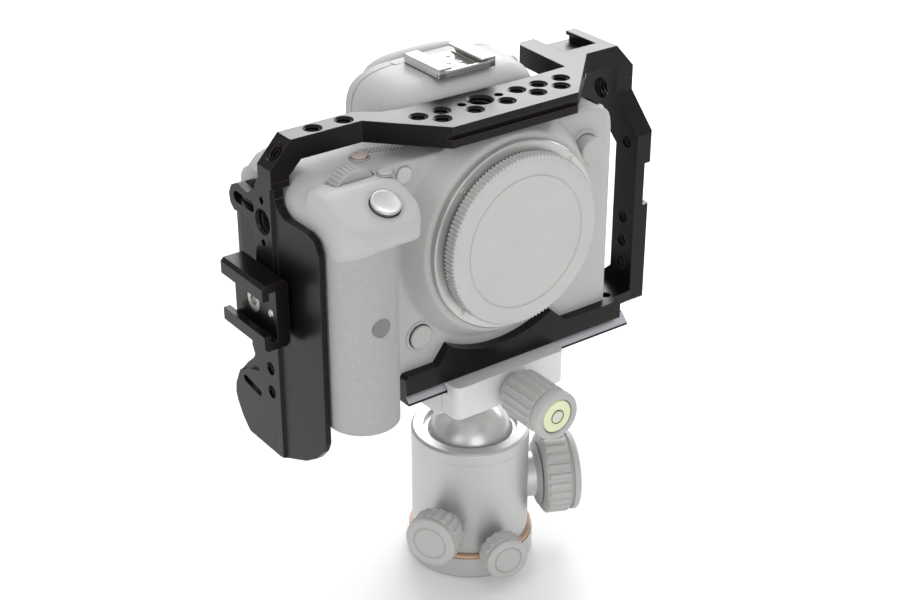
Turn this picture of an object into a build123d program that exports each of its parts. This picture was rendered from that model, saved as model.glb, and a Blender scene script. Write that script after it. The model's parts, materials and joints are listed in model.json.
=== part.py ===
from build123d import *
import math
import os

# Cinema camera rig: a machined camera cage, the mirrorless camera inside it and the ball head below.
# Millimetres. The origin is the mouth of the tripod socket under the ball head, +Z is up,
# the camera looks along -Y and its grip is on the -X side.

os.makedirs("parts", exist_ok=True)

# ---- driving dimensions -------------------------------------------------------------------------
LENS_Z = 147.5          # height of the lens axis above the socket's mouth
CAP_FRONT_Y = -32.4     # front plane of the body cap
TURN_GAP = 0.05         # radial clearance of a shaft in its bore
FREE_GAP = 0.3          # gap between pieces that move past each other

# threads, as tapped bores with a chamfered mouth
QUARTER_R = 2.6         # 1/4 inch-20 tapped bore
THREE_EIGHTHS_R = 4.05  # 3/8 inch-16 tapped bore
MOUTH = 0.8             # chamfer at each mouth
LOCATING_R = 1.6        # plain locating holes beside a 3/8 inch thread

# ball head
BASE_R = 25.0
BASE_H = 9.0
RING_TOP = 10.2
HOUSING_R = 23.0
HOUSING_Z0 = 10.5
HOUSING_TOP = 51.0
RIM_TOP = 56.2
BALL_Z = 50.0
BALL_R = 17.0
CAVITY_R = 20.8
SPIGOT_R = 14.0
SPIGOT_TOP = 15.0
STEM_R = 8.0

# quick-release clamp and dovetail
CLAMP_HALF = 25.2       # half length along X
CLAMP_Z0 = 76.0
CLAMP_FLOOR = 87.9
DOVE_HALF = 19.1        # half width of the dovetail's lower land
DOVE_Z0 = 88.2
DOVE_LAND = 1.0
PLATE_Z0 = 92.7         # underside of the base plate
JAW_OPEN = 3.0          # travel of the moving jaw
KNOB_Z = 85.2           # axis of the clamp knob and its screw
SCREW_R = 1.9

# cage
CAGE_L = -84.7          # outer face on the grip side
CAGE_R = 78.0           # outer face on the port side
BAR_TOP = 195.0
BAR_T = 7.8
SEAM_Z = 181.1          # joint between the top bar's legs and the side frames
BAR_FRONT = -25.5
LEG_FRONT_L = -2.6
LEG_FRONT_R = 2.6
LEG_BACK_L = 5.8
LEG_BACK_R = 20.0
WEB_IN = -80.2          # inner face of the grip-side frame
PORT_IN = 70.4          # inner face of the port-side frame
FOOT_Z = 73.0           # lowest edge of the grip-side frame
PORT_Z0 = 91.8
LIP_Y = -19.1
LIP_ARC_R = 46.8
HOLE_Y_L = 4.2          # line of the threads in the grip-side frame

# camera body
CAM_L = -79.7
CAM_R = 57.5
CAM_Z0 = 97.0
CAM_Z1 = 182.0
CAM_FRONT = -15.0
CAM_SPLIT = 12.0
CAM_BACK = 24.0
GRIP_FRONT = -39.6
GRIP_CUT = 166.0        # top of the rubber on the grip
HEAD_FRONT = -41.5
MOUNT_Y = -26.6
MOUNT_R = 35.6
THROAT_R = 26.9


def finish(name, builder):
    """Label a finished piece and write it as one STEP file."""
    builder.part.label = name
    export_step(builder.part, "parts/" + name + ".step")


def facing(angle_deg, reach, z):
    """Plane that looks outwards from the head's axis at an angle measured from +X."""
    a = math.radians(angle_deg)
    out = Vector(math.cos(a), math.sin(a), 0)
    return Plane(origin=(out.X * reach, out.Y * reach, z), z_dir=out)


def forward(y, x=0.0, z=0.0):
    """Plane at depth y that looks along -Y, with its x axis along +X."""
    return Plane(origin=(x, y, z), x_dir=(1, 0, 0), z_dir=(0, -1, 0))


def slab(x0, x1, y0, y1, z0, z1):
    """Private box between two corners."""
    box = Box(x1 - x0, y1 - y0, z1 - z0, align=(Align.MIN, Align.MIN, Align.MIN), mode=Mode.PRIVATE)
    return Pos(x0, y0, z0) * box


def drill(plane, radius, depth):
    """Cut a plain bore of the given depth behind a plane's origin."""
    with BuildSketch(plane) as bore:
        Circle(radius)
    extrude(bore.sketch, amount=-depth, mode=Mode.SUBTRACT)


def tapped(plane, radius, depth):
    """Cut a tapped bore with a chamfered mouth behind a plane's origin."""
    drill(plane, radius, depth)
    with Locations(plane.offset(-MOUTH / 2)):
        Cone(radius, radius + MOUTH, MOUTH, mode=Mode.SUBTRACT)


def disc(plane, radius, length):
    """Add a plain cylinder that starts on a plane and grows along its normal."""
    with BuildSketch(plane) as face:
        Circle(radius)
    extrude(face.sketch, amount=length)


def at(x, y, z):
    """Horizontal plane that looks up, at a point."""
    return Plane(origin=(x, y, z), x_dir=(1, 0, 0), z_dir=(0, 0, 1))


def sideways(x, y, z, sign):
    """Plane at a point that looks along +X or -X."""
    return Plane(origin=(x, y, z), x_dir=(0, 1, 0), z_dir=(sign, 0, 0))


# ==== ball head ===================================================================================

with BuildPart() as head_base:
    with BuildSketch(Plane.XY):
        Circle(BASE_R)
    extrude(amount=BASE_H)
    chamfer(head_base.edges().group_by(Axis.Z)[0], 0.8)
    with BuildSketch(Plane.XY.offset(BASE_H)):
        Circle(SPIGOT_R)
    extrude(amount=SPIGOT_TOP - BASE_H)
    drill(Plane(origin=(0, 0, 0), z_dir=(0, 0, -1)), THREE_EIGHTHS_R, 10.0)
finish("head_base", head_base)

with BuildPart() as pan_ring:
    with BuildSketch(Plane.XY.offset(BASE_H)):
        Circle(BASE_R - 0.6)
        Circle(SPIGOT_R + 0.6, mode=Mode.SUBTRACT)
    extrude(amount=RING_TOP - BASE_H)
finish("pan_ring", pan_ring)

# each lock knob: direction, height, boss reach, boss radius, shaft radius
MAIN_DIR = -25.0
MAIN_Z = 29.5
FRICTION_DIR = 208.5
FRICTION_Z = 22.8
PAN_DIR = 258.0
PAN_Z = 14.2
SHAFT_IN = 20.5         # how far in the knob shafts start

with BuildPart() as housing:
    with BuildSketch(Plane.XY.offset(HOUSING_Z0)):
        Circle(HOUSING_R)
    extrude(amount=HOUSING_TOP - HOUSING_Z0)
    for angle, z, boss_r, reach in ((MAIN_DIR, MAIN_Z, 9.0, 26.6), (FRICTION_DIR, FRICTION_Z, 6.5, 25.6)):
        with BuildSketch(facing(angle, 10.0, z)):
            Circle(boss_r)
        extrude(amount=reach - 10.0)
    with Locations((0, 0, BALL_Z)):
        Sphere(CAVITY_R, mode=Mode.SUBTRACT)
    drill(Plane.XY.offset(SPIGOT_TOP + 0.4), SPIGOT_R + TURN_GAP, SPIGOT_TOP + 0.4 - HOUSING_Z0)
    for angle, z, shaft_r in ((MAIN_DIR, MAIN_Z, 4.0), (FRICTION_DIR, FRICTION_Z, 3.0), (PAN_DIR, PAN_Z, 2.2)):
        drill(facing(angle, 40.0, z), shaft_r + TURN_GAP, 40.0 - SHAFT_IN + 0.3)
finish("housing", housing)

with BuildPart() as rim_collar:
    with BuildSketch(Plane.XY.offset(HOUSING_TOP)):
        Circle(HOUSING_R + 0.1)
    extrude(amount=RIM_TOP - HOUSING_TOP)
    chamfer(rim_collar.edges().group_by(Axis.Z)[-1], 0.9)
    drill(Plane.XY.offset(RIM_TOP), 18.3, 1.8)
    with Locations((0, 0, BALL_Z)):
        Sphere(BALL_R + 0.08, mode=Mode.SUBTRACT)
finish("rim_collar", rim_collar)

# seat under the ball: it swings about X in the housing and carries the ball's own pivot about Y
with BuildPart() as ball_seat:
    with Locations((0, 0, BALL_Z)):
        Sphere(CAVITY_R - 0.5)
        Sphere(BALL_R + 0.1, mode=Mode.SUBTRACT)
    split(bisect_by=Plane.XY.offset(BALL_Z - 15.5), keep=Keep.BOTTOM)
finish("ball_seat", ball_seat)

with BuildPart() as ball:
    with Locations((0, 0, BALL_Z)):
        Sphere(BALL_R)
    with BuildSketch(Plane.XY.offset(BALL_Z)):
        Circle(STEM_R)
    extrude(amount=CLAMP_Z0 - BALL_Z)
finish("ball", ball)


def lock_knob(name, angle, z, shaft_r, knob_r, start, length):
    """Knob with a waist, a ribbed barrel and an end cap, on its own shaft."""
    with BuildPart() as knob:
        disc(facing(angle, SHAFT_IN, z), shaft_r, start - SHAFT_IN + 1.0)
        disc(facing(angle, start, z), knob_r, length * 0.74)
        disc(facing(angle, start + length * 0.74, z), knob_r * 0.93, length * 0.06)
        disc(facing(angle, start + length * 0.8, z), knob_r * 0.97, length * 0.2)
        chamfer(knob.faces().sort_by(Axis(origin=(0, 0, z), direction=facing(angle, 0, z).z_dir))[-1].edges(), 1.0)
    finish(name, knob)


lock_knob("main_knob", MAIN_DIR, MAIN_Z, 4.0, 16.3, 27.0, 15.0)
lock_knob("friction_knob", FRICTION_DIR, FRICTION_Z, 3.0, 10.6, 26.0, 10.8)
lock_knob("pan_knob", PAN_DIR, PAN_Z, 2.2, 8.8, 26.2, 9.4)

# clamp: the body carries the fixed rear jaw
JAW_EDGE = DOVE_HALF + 0.45
JAW_TOP = PLATE_Z0 - 0.4
JAW_HOOK = JAW_EDGE - 3.1
LAND_TOP = DOVE_Z0 + DOVE_LAND

with BuildPart() as clamp_body:
    with BuildSketch(Plane.YZ.offset(-CLAMP_HALF)):
        with BuildLine():
            Polyline(
                (-15.8, CLAMP_Z0 + 2), (-13.8, CLAMP_Z0), (20.0, CLAMP_Z0), (24.6, CLAMP_Z0 + 5),
                (24.6, JAW_TOP), (JAW_HOOK, JAW_TOP), (JAW_EDGE, LAND_TOP), (JAW_EDGE, CLAMP_FLOOR),
                (-15.8, CLAMP_FLOOR), close=True,
            )
        make_face()
    extrude(amount=2 * CLAMP_HALF)
    fillet(clamp_body.edges().filter_by(Axis.Z).group_by(Axis.Y)[-1], 3.0)
    drill(forward(-15.8, z=KNOB_Z), SCREW_R + TURN_GAP, 16.0)
finish("clamp_body", clamp_body)

with BuildPart() as clamp_jaw:
    with BuildSketch(Plane.YZ.offset(-CLAMP_HALF)):
        with BuildLine():
            Polyline(
                (-16.1, 79.0), (-16.1, CLAMP_FLOOR), (-JAW_EDGE, CLAMP_FLOOR), (-JAW_EDGE, LAND_TOP),
                (-JAW_HOOK, JAW_TOP), (-25.6, JAW_TOP), (-25.6, 79.0), close=True,
            )
        make_face()
    extrude(amount=2 * CLAMP_HALF)
    fillet(clamp_jaw.edges().filter_by(Axis.Z).group_by(Axis.Y)[0], 3.0)
    drill(forward(-25.6, z=KNOB_Z), SCREW_R + TURN_GAP, 10.0)
finish("clamp_jaw", clamp_jaw)

with BuildPart() as clamp_knob:
    with BuildSketch(forward(-25.9, z=KNOB_Z)):
        Circle(5.6)
    extrude(amount=3.4)
    with BuildSketch(forward(-29.0, z=KNOB_Z)):
        Circle(9.4)
    extrude(amount=23.6)
    chamfer(clamp_knob.faces().sort_by(Axis.Y)[0].edges(), 0.8)
    drill(forward(-52.6, z=KNOB_Z), 6.5, 2.4)
    drill(Plane(origin=(0, -25.9, KNOB_Z), z_dir=(0, 1, 0)), SCREW_R, 4.0)
finish("clamp_knob", clamp_knob)

with BuildPart() as clamp_screw:
    disc(forward(-0.5, z=KNOB_Z), SCREW_R, 29.4)
finish("clamp_screw", clamp_screw)

with BuildPart() as bubble_level:
    with BuildSketch(forward(-50.2, z=KNOB_Z)):
        Circle(6.5)
    extrude(amount=2.1)
finish("bubble_level", bubble_level)

# ==== cage ========================================================================================

TOP_HOLES = (
    (-65.2, 1.7), (-52.8, 1.7), (-30.8, -10.8), (-21.3, -10.8), (11.4, -10.8), (21.0, -10.8), (31.2, -10.8),
    (-25.2, -16.9), (-11.4, -16.9), (2.3, -16.9), (15.9, -16.9), (26.4, -16.9),
)
TOP_LARGE = (-4.7, -10.8)
SHOE_X0 = 47.6          # rear cold shoe: channel for the foot
SHOE_W = 18.8
SHOE_LIP = 1.6
SHOE_FLOOR = 191.4
LIP_UNDER = 193.5
SHOE_Y0 = 9.4
PRONG_END = 27.0
EDGE = 0.4              # broken edges of the machined plates

with BuildPart() as top_bar:
    with BuildSketch(Plane.XY.offset(BAR_TOP - BAR_T)):
        with BuildLine():
            Polyline(
                (CAGE_L, LEG_FRONT_L), (-48.4, LEG_FRONT_L), (-27.0, BAR_FRONT), (27.2, BAR_FRONT),
                (54.6, LEG_FRONT_R), (CAGE_R, LEG_FRONT_R), (CAGE_R, LEG_BACK_R), (72.6, LEG_BACK_R),
                (72.6, PRONG_END - 2.2), (70.4, PRONG_END), (42.8, PRONG_END), (40.6, PRONG_END - 2.2), (39.6, -3.0), (18.9, -3.6), (-31.9, -1.5), (-38.9, 0.4),
                (-46.3, LEG_BACK_L), (CAGE_L, LEG_BACK_L), close=True,
            )
        make_face()
    extrude(amount=BAR_T)
    # legs down to the side frames
    add(slab(CAGE_L, CAGE_L + 7.2, LEG_FRONT_L, LEG_BACK_L, SEAM_Z, BAR_TOP - BAR_T))
    add(slab(PORT_IN, CAGE_R, LEG_FRONT_R, LEG_BACK_R, SEAM_Z, BAR_TOP - BAR_T))
    # gusset behind the angled thread
    with BuildSketch(Plane.XZ.offset(-LEG_BACK_L)):
        with BuildLine():
            Polyline((CAGE_L + 7.1, BAR_TOP - BAR_T + 0.1), (CAGE_L + 12.2, BAR_TOP - BAR_T + 0.1),
                     (CAGE_L + 7.1, BAR_TOP - BAR_T - 5.0), close=True)
        make_face()
    extrude(amount=LEG_BACK_L - LEG_FRONT_L)
    # rear cold shoe: channel under two lips
    shoe_end = PRONG_END + 1.0
    add(slab(SHOE_X0, SHOE_X0 + SHOE_W, SHOE_Y0, shoe_end, SHOE_FLOOR, LIP_UNDER), mode=Mode.SUBTRACT)
    add(slab(SHOE_X0 + SHOE_LIP, SHOE_X0 + SHOE_W - SHOE_LIP, SHOE_Y0, shoe_end, SHOE_FLOOR, BAR_TOP + 1),
        mode=Mode.SUBTRACT)
    # large chamfers at both ends
    for corner, run, sign in ((CAGE_L, 8.3, 1), (CAGE_R, 8.5, -1)):
        with BuildSketch(Plane.XZ.offset(-40)):
            with BuildLine():
                Polyline((corner - sign, BAR_TOP + 1.1), (corner + sign * (run + 1), BAR_TOP + 1.1),
                         (corner - sign, BAR_TOP - run - 2), close=True)
            make_face()
        extrude(amount=60, mode=Mode.SUBTRACT)
    # groove along the nose
    add(slab(-40, 40, BAR_FRONT - 1, BAR_FRONT + 1.4, 190.2, 192.2), mode=Mode.SUBTRACT)
    for x, y in TOP_HOLES:
        tapped(at(x, y, BAR_TOP), QUARTER_R, BAR_T)
    tapped(at(*TOP_LARGE, BAR_TOP), THREE_EIGHTHS_R, BAR_T)
    for side in (-1, 1):
        drill(at(TOP_LARGE[0] + side * 8.0, TOP_LARGE[1], BAR_TOP), LOCATING_R, 5.0)
    facet = Plane(origin=(CAGE_L + 4.3, 1.6, BAR_TOP - 4.43), z_dir=(-11.4, 0, 10.3))
    drill(facet.offset(1.0), QUARTER_R, 7.5)
finish("top_bar", top_bar)

# ---- grip-side frame: outlines are in Y and Z ----------------------------------------------------
NECK_BACK = 9.6
WING_FRONT = -27.4
WING_TOP = 169.8
WING_IN = -80.3
LOOP_IN = -81.6         # inner face of the thin strap loop
BLOCK_TOP = 85.5        # seam of the foot block
BLOCK_SCREW_Y = (12.5, 20.0)
SHOE_Z = 136.85         # centre of the side cold shoe
SHOE_SCREW = (5.0, 136.5)
SHOE_PIN = (-7.0, 136.5)
FRAME_LARGE_Z = 164.9
FRAME_HOLES = (107.9, 98.4)

with BuildPart() as grip_side_frame:
    # neck and lobe
    with BuildSketch(Plane.YZ.offset(CAGE_L)):
        with BuildLine():
            Polyline(
                (LEG_FRONT_L, SEAM_Z), (LEG_FRONT_L, FOOT_Z + 0.6), (1.0, FOOT_Z), (1.0, BLOCK_TOP),
                (30.9, BLOCK_TOP), (30.4, 89.8), (26.7, 97.1), (21.8, 102.3), (16.4, 106.9), (16.6, 111.8),
                (NECK_BACK, 152.0), (NECK_BACK, 174.3), (LEG_BACK_L, SEAM_Z), close=True,
            )
        face = make_face()
        fillet(face.vertices().filter_by_position(Axis.X, 16.3, 30.6), 5.5)
    extrude(amount=WEB_IN - CAGE_L)
    chamfer(grip_side_frame.edges().filter_by(Axis.Z).group_by(Axis.X)[0].group_by(Axis.Y)[0], 1.1)
    # strap loop
    with BuildSketch(Plane.YZ.offset(CAGE_L)):
        with BuildLine():
            Polyline(
                (5.0, 174.6), (10.0, 174.3), (14.2, 172.2), (20.8, 173.3), (24.6, 171.4), (26.6, 167.8),
                (26.0, 164.2), (23.5, 162.1), (16.5, 163.4), (12.6, 162.5), (10.3, 158.9), (5.0, 152.3),
                close=True,
            )
        face = make_face()
        fillet(face.vertices().filter_by_position(Axis.X, 10.0, 27.0), 1.4)
        with Locations((16.4, 168.0)):
            SlotOverall(13.9, 4.2, mode=Mode.SUBTRACT)
    extrude(amount=LOOP_IN - CAGE_L)
    # thick head that meets the top bar's leg
    add(slab(CAGE_L, CAGE_L + 7.2, LEG_FRONT_L, LEG_BACK_L, SEAM_Z - 2.2, SEAM_Z))
    # shallow step on the lobe
    with BuildSketch(Plane.YZ.offset(CAGE_L)):
        with BuildLine():
            Polyline((12.2, 103.2), (19.2, 100.9), (26.2, 96.8), (32.0, 100.0), (16.4, 112.0), close=True)
        make_face()
    extrude(amount=1.0, mode=Mode.SUBTRACT)
    # threads, locating holes, the shoe's screw and the strap slot
    tapped(sideways(CAGE_L, HOLE_Y_L, FRAME_LARGE_Z, -1), THREE_EIGHTHS_R, 4.5)
    for z in (FRAME_LARGE_Z + 7.9, FRAME_LARGE_Z - 7.9):
        drill(sideways(CAGE_L, HOLE_Y_L, z, -1), 1.4, 3.5)
    for z in FRAME_HOLES:
        drill(sideways(CAGE_L, HOLE_Y_L, z, -1), QUARTER_R, 4.5)
    drill(sideways(CAGE_L, SHOE_SCREW[0], SHOE_SCREW[1], -1), 2.0, 5.0)
    with BuildSketch(Plane.YZ.offset(CAGE_L)):
        with Locations((18.0, 94.4)):
            SlotOverall(12.5, 3.0, rotation=8)
    extrude(amount=5.0, mode=Mode.SUBTRACT)
finish("grip_side_frame", grip_side_frame)

# thin wing that shields the grip, in front of the neck
with BuildPart() as grip_wing:
    with BuildSketch(Plane.YZ.offset(-83.6)):
        with BuildLine():
            Polyline(
                (LEG_FRONT_L, 175.6), (-3.3, 173.2), (-5.0, 171.2), (-8.2, WING_TOP), (-21.0, WING_TOP),
                (-25.2, 168.2), (WING_FRONT, 164.0), (WING_FRONT, 91.5), (-25.6, 87.6), (-21.5, 83.0),
                (-14.6, 78.5), (-8.0, 75.8), (LEG_FRONT_L, FOOT_Z + 0.6), close=True,
            )
        face = make_face()
        fillet(face.vertices().filter_by_position(Axis.X, WING_FRONT - 0.1, -2.8), 2.0)
    extrude(amount=83.6 + WING_IN)
    with BuildSketch(Plane.XY.offset(FOOT_Z - 5)):
        with BuildLine():
            Polyline((-85.0, LEG_FRONT_L - 0.6), (-83.5, LEG_FRONT_L - 0.6), (-82.5, WING_FRONT - 1),
                     (-85.0, WING_FRONT - 1), close=True)
        make_face()
    extrude(amount=110, mode=Mode.SUBTRACT)
finish("grip_wing", grip_wing)

with BuildPart() as foot_block:
    with BuildSketch(Plane.YZ.offset(CAGE_L)):
        with BuildLine():
            Polyline((1.0, BLOCK_TOP), (1.0, FOOT_Z), (22.2, FOOT_Z), (26.7, 77.4), (29.8, 82.4),
                     (30.9, BLOCK_TOP), close=True)
        face = make_face()
        fillet(face.vertices().filter_by_position(Axis.X, 22.0, 30.0), 3.0)
    extrude(amount=WEB_IN - CAGE_L)
    add(slab(WEB_IN, WEB_IN + 3.4, 5.0, 24.0, FOOT_Z + 2.5, 91.5))
    for y in BLOCK_SCREW_Y:
        drill(sideways(WEB_IN + 3.4, y, 88.0, 1), 1.6, 3.4)
finish("foot_block", foot_block)

with BuildPart() as block_screws:
    for y in BLOCK_SCREW_Y:
        disc(sideways(WEB_IN + 0.01, y, 88.0, 1), 1.6, 3.4)
        disc(sideways(WEB_IN + 3.4, y, 88.0, 1), 2.9, 1.5)
finish("block_screws", block_screws)

SHOE_OUT = -94.8
SHOE_FLOOR_X = -89.7
SHOE_LIP_X = -92.2

with BuildPart() as side_cold_shoe:
    add(slab(SHOE_OUT, CAGE_L, -10.6, 17.0, SHOE_Z - 12.5, SHOE_Z + 12.5))
    add(slab(SHOE_LIP_X, SHOE_FLOOR_X, -12, 18, SHOE_Z - SHOE_W / 2, SHOE_Z + SHOE_W / 2), mode=Mode.SUBTRACT)
    add(slab(SHOE_OUT - 1, SHOE_FLOOR_X, -12, 18, SHOE_Z - 6.7, SHOE_Z + 6.7), mode=Mode.SUBTRACT)
    chamfer(side_cold_shoe.edges().filter_by(Axis.Y).group_by(Axis.Z)[0], 1.2)
    chamfer(side_cold_shoe.edges().filter_by(Axis.Y).group_by(Axis.Z)[-1], 1.2)
    drill(sideways(SHOE_FLOOR_X, *SHOE_SCREW, -1), 4.3, 2.2)
    drill(sideways(SHOE_FLOOR_X, *SHOE_SCREW, -1), 2.0, 6.0)
    drill(sideways(SHOE_FLOOR_X, *SHOE_PIN, -1), 1.5, 4.0)
finish("side_cold_shoe", side_cold_shoe)

with BuildPart() as shoe_screw:
    disc(sideways(SHOE_FLOOR_X + 2.2, *SHOE_SCREW, -1), 4.2, 2.0)
    disc(sideways(SHOE_FLOOR_X + 2.2, *SHOE_SCREW, 1), 2.0, 6.5)
    with BuildSketch(sideways(SHOE_FLOOR_X + 0.2, *SHOE_SCREW, -1)):
        RegularPolygon(2.3, 6)
    extrude(amount=-1.4, mode=Mode.SUBTRACT)
finish("shoe_screw", shoe_screw)

with BuildPart() as shoe_pin:
    disc(sideways(SHOE_FLOOR_X + 4.0, *SHOE_PIN, -1), 1.5, 4.4)
    chamfer(shoe_pin.faces().sort_by(Axis.X)[0].edges(), 0.4)
finish("shoe_pin", shoe_pin)

# ---- port-side frame -----------------------------------------------------------------------------
PORT_HOLE_Y = -4.4
PORT_HOLES = (158.4, 126.8, 116.7, 107.1)
PORT_LARGE = (11.6, 175.4)
RELIEF_Z0 = 133.0
RELIEF_Z1 = 150.5

with BuildPart() as port_side_frame:
    with BuildSketch(Plane.YZ.offset(PORT_IN)):
        with BuildLine():
            Polyline(
                (LEG_FRONT_R, SEAM_Z), (LEG_FRONT_R, 175.9), (-10.6, 162.3), (-10.6, PORT_Z0 + 1),
                (-9.6, PORT_Z0), (5.6, PORT_Z0), (7.0, 93.6), (7.0, 98.5), (1.6, 103.5), (1.6, 156.0),
                (6.4, 160.6), (20.5, 160.2), (24.6, 163.0), (25.4, 170.0), (21.4, 175.6),
                (LEG_BACK_R, SEAM_Z), close=True,
            )
        make_face()
        with Locations((15.4, 166.4)):
            SlotOverall(13.0, 4.4, mode=Mode.SUBTRACT)
    extrude(amount=CAGE_R - PORT_IN)
    add(slab(CAGE_R - 3.4, CAGE_R + 1, -12, 12, RELIEF_Z0, RELIEF_Z1), mode=Mode.SUBTRACT)
    chamfer(port_side_frame.edges().filter_by(Axis.Z).group_by(Axis.X)[-1].group_by(Axis.Y)[0], 0.8)
    tapped(sideways(CAGE_R, *PORT_LARGE, 1), THREE_EIGHTHS_R, CAGE_R - PORT_IN)
    for z in PORT_HOLES:
        tapped(sideways(CAGE_R, PORT_HOLE_Y, z, 1), QUARTER_R, CAGE_R - PORT_IN)
finish("port_side_frame", port_side_frame)

# ---- base plate and dovetail ---------------------------------------------------------------------
PLATE_L = -43.0
PLATE_BACK = 22.0
LIP_BACK = CAM_FRONT
LIP_TOP = 100.3
HEAD_BORE = 7.6
CABLE_HOLE = (60.1, -7.8)
PLATE_SCREWS = ((-32.0, 0.0), (34.0, 0.0), (52.0, 0.0))

with BuildPart() as base_plate:
    with BuildSketch(Plane.XY.offset(PLATE_Z0)):
        with BuildLine():
            Polyline(
                (PLATE_L, LIP_Y + 5), (PLATE_L + 2, LIP_Y + 1.5), (PLATE_L + 6, LIP_Y), (PORT_IN, LIP_Y + 8.5),
                (PORT_IN, 7.0), (62.0, PLATE_BACK), (WEB_IN + 4, PLATE_BACK), (WEB_IN, PLATE_BACK - 3),
                (WEB_IN, 12.0), (WEB_IN + 3, 9.2), (-50.0, 9.2), (PLATE_L, 4.0), close=True,
            )
        make_face()
    extrude(amount=CAM_Z0 - PLATE_Z0)
    # front lip with two horns round the lens mount
    with BuildSketch(forward(LIP_BACK)):
        with BuildLine():
            arc_dx = 23.4
            arc_z = LENS_Z - math.sqrt(LIP_ARC_R ** 2 - arc_dx ** 2)
            Polyline((-arc_dx, arc_z), (-28.5, LIP_TOP), (PLATE_L + 1, LIP_TOP), (PLATE_L, LIP_TOP - 1),
                     (PLATE_L, PLATE_Z0), (58.0, PLATE_Z0), (58.0, LIP_TOP - 1), (57.0, LIP_TOP),
                     (30.5, LIP_TOP), (arc_dx, arc_z))
            ThreePointArc((arc_dx, arc_z), (0, LENS_Z - LIP_ARC_R), (-arc_dx, arc_z))
        make_face()
    extrude(amount=LIP_BACK - LIP_Y)
    drill(at(0, 0, CAM_Z0), 3.4, 5.0)
    drill(at(*CABLE_HOLE, CAM_Z0), 2.1, 5.0)
    for x, y in PLATE_SCREWS:
        drill(at(x, y, CAM_Z0), 1.5, 5.0)
finish("base_plate", base_plate)

with BuildPart() as dovetail_plate:
    with BuildSketch(Plane.YZ.offset(-42.0)):
        with BuildLine():
            Polyline((-DOVE_HALF, DOVE_Z0), (DOVE_HALF, DOVE_Z0), (DOVE_HALF, LAND_TOP),
                     (DOVE_HALF - 3.5, PLATE_Z0), (3.5 - DOVE_HALF, PLATE_Z0), (-DOVE_HALF, LAND_TOP), close=True)
        make_face()
    extrude(amount=104.0)
    drill(at(0, 0, PLATE_Z0), HEAD_BORE, 5.0)
    for x, y in PLATE_SCREWS:
        drill(at(x, y, PLATE_Z0), 1.5, 5.0)
        drill(at(x, y, PLATE_Z0 - 2.2), 3.0, 3.0)
finish("dovetail_plate", dovetail_plate)

with BuildPart() as plate_screws:
    for x, y in PLATE_SCREWS:
        disc(at(x, y, DOVE_Z0 + 0.3), 2.9, 1.9)
        disc(at(x, y, DOVE_Z0 + 2.0), 1.5, 6.0)
finish("plate_screws", plate_screws)

with BuildPart() as camera_screw:
    disc(at(0, 0, 88.8), 7.2, 3.6)
    disc(at(0, 0, 92.4), 3.1, 10.6)
    add(slab(-5.5, 5.5, -0.8, 0.8, 88.0, 90.2), mode=Mode.SUBTRACT)
finish("camera_screw", camera_screw)

# ==== camera ======================================================================================

GRIP_X = -66.5          # centre line of the grip
GRIP_R = 12.9
GRIP_Y = -26.7
SKIN = 0.8
HEAD_RIGHT = -47.5
HEAD_TOP = 182.4
BAY = (-77.1, -55.5, -28.5, 8.5)
DIAL = (-61.5, -15.0, 177.0)
DIAL_R = 9.0
DIAL_W = 6.0
SHUTTER = Plane(origin=(-59.5, -32.5, 178.15), x_dir=(1, 0, 0), z_dir=(0, -1, 2))
SHUTTER_R = 5.3
RECORD_R = 2.8
RECORD = (-49.8, -2.6, CAM_Z1)
FUNCTION = (-50.6, -19.5, HEAD_TOP)
RELEASE = (39.5, 167.5)
RELEASE_R = 5.2
PREVIEW = (-34.2, 113.0)
PREVIEW_R = 4.5
WINDOW_R = 3.5          # infrared window in the grip
DOOR_HINGE = (-56.2, 98.15)
COVER_HINGE = (57.0, -3.5)
COVER_Z = (105.0, 155.0)


def grip_plan(inset, height):
    """Solid of the grip's plan from the bottom of the camera, drawn in by an inset."""
    r = GRIP_R - inset
    right = GRIP_X + r
    with BuildPart(mode=Mode.PRIVATE) as body:
        with BuildSketch(Plane.XY.offset(CAM_Z0)):
            with BuildLine():
                Line((GRIP_X - r, CAM_FRONT), (GRIP_X - r, GRIP_Y))
                ThreePointArc((GRIP_X - r, GRIP_Y), (GRIP_X, GRIP_Y - r), (right, GRIP_Y))
                Line((right, GRIP_Y), (right, -24.0))
                ThreePointArc((right, -24.0), (right + 2.6, -17.8), (right + 9.0, CAM_FRONT))
                Line((right + 9.0, CAM_FRONT), (GRIP_X - r, CAM_FRONT))
            make_face()
        extrude(amount=height)
    return body.part


def body_outline(y0, y1):
    """Solid of the camera's outline between two depths."""
    with BuildPart(mode=Mode.PRIVATE) as body:
        add(slab(CAM_L, CAM_R, y0, y1, CAM_Z0, CAM_Z1))
        depth_edges = body.edges().filter_by(Axis.Y)
        fillet(depth_edges.group_by(Axis.Z)[0], 3.0)
        upper = body.edges().filter_by(Axis.Y).group_by(Axis.Z)[-1]
        fillet(upper.sort_by(Axis.X)[0], 10.0)
        upper = body.edges().filter_by(Axis.Y).group_by(Axis.Z)[-1]
        fillet(upper.sort_by(Axis.X)[-1], 15.0)
    return body.part


def hollow(x0, y0, y1):
    """Solid of the space inside the shells, rounded like the outline at its upper corners."""
    with BuildPart(mode=Mode.PRIVATE) as body:
        add(slab(x0, 55.0, y0, y1, CAM_Z0 + 2.3, CAM_Z1 - 2.5))
        upper = body.edges().filter_by(Axis.Y).group_by(Axis.Z)[-1]
        fillet(upper.sort_by(Axis.X)[-1], 12.5)
        upper = body.edges().filter_by(Axis.Y).group_by(Axis.Z)[-1]
        fillet(upper.sort_by(Axis.X)[0], 7.5)
    return body.part


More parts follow.
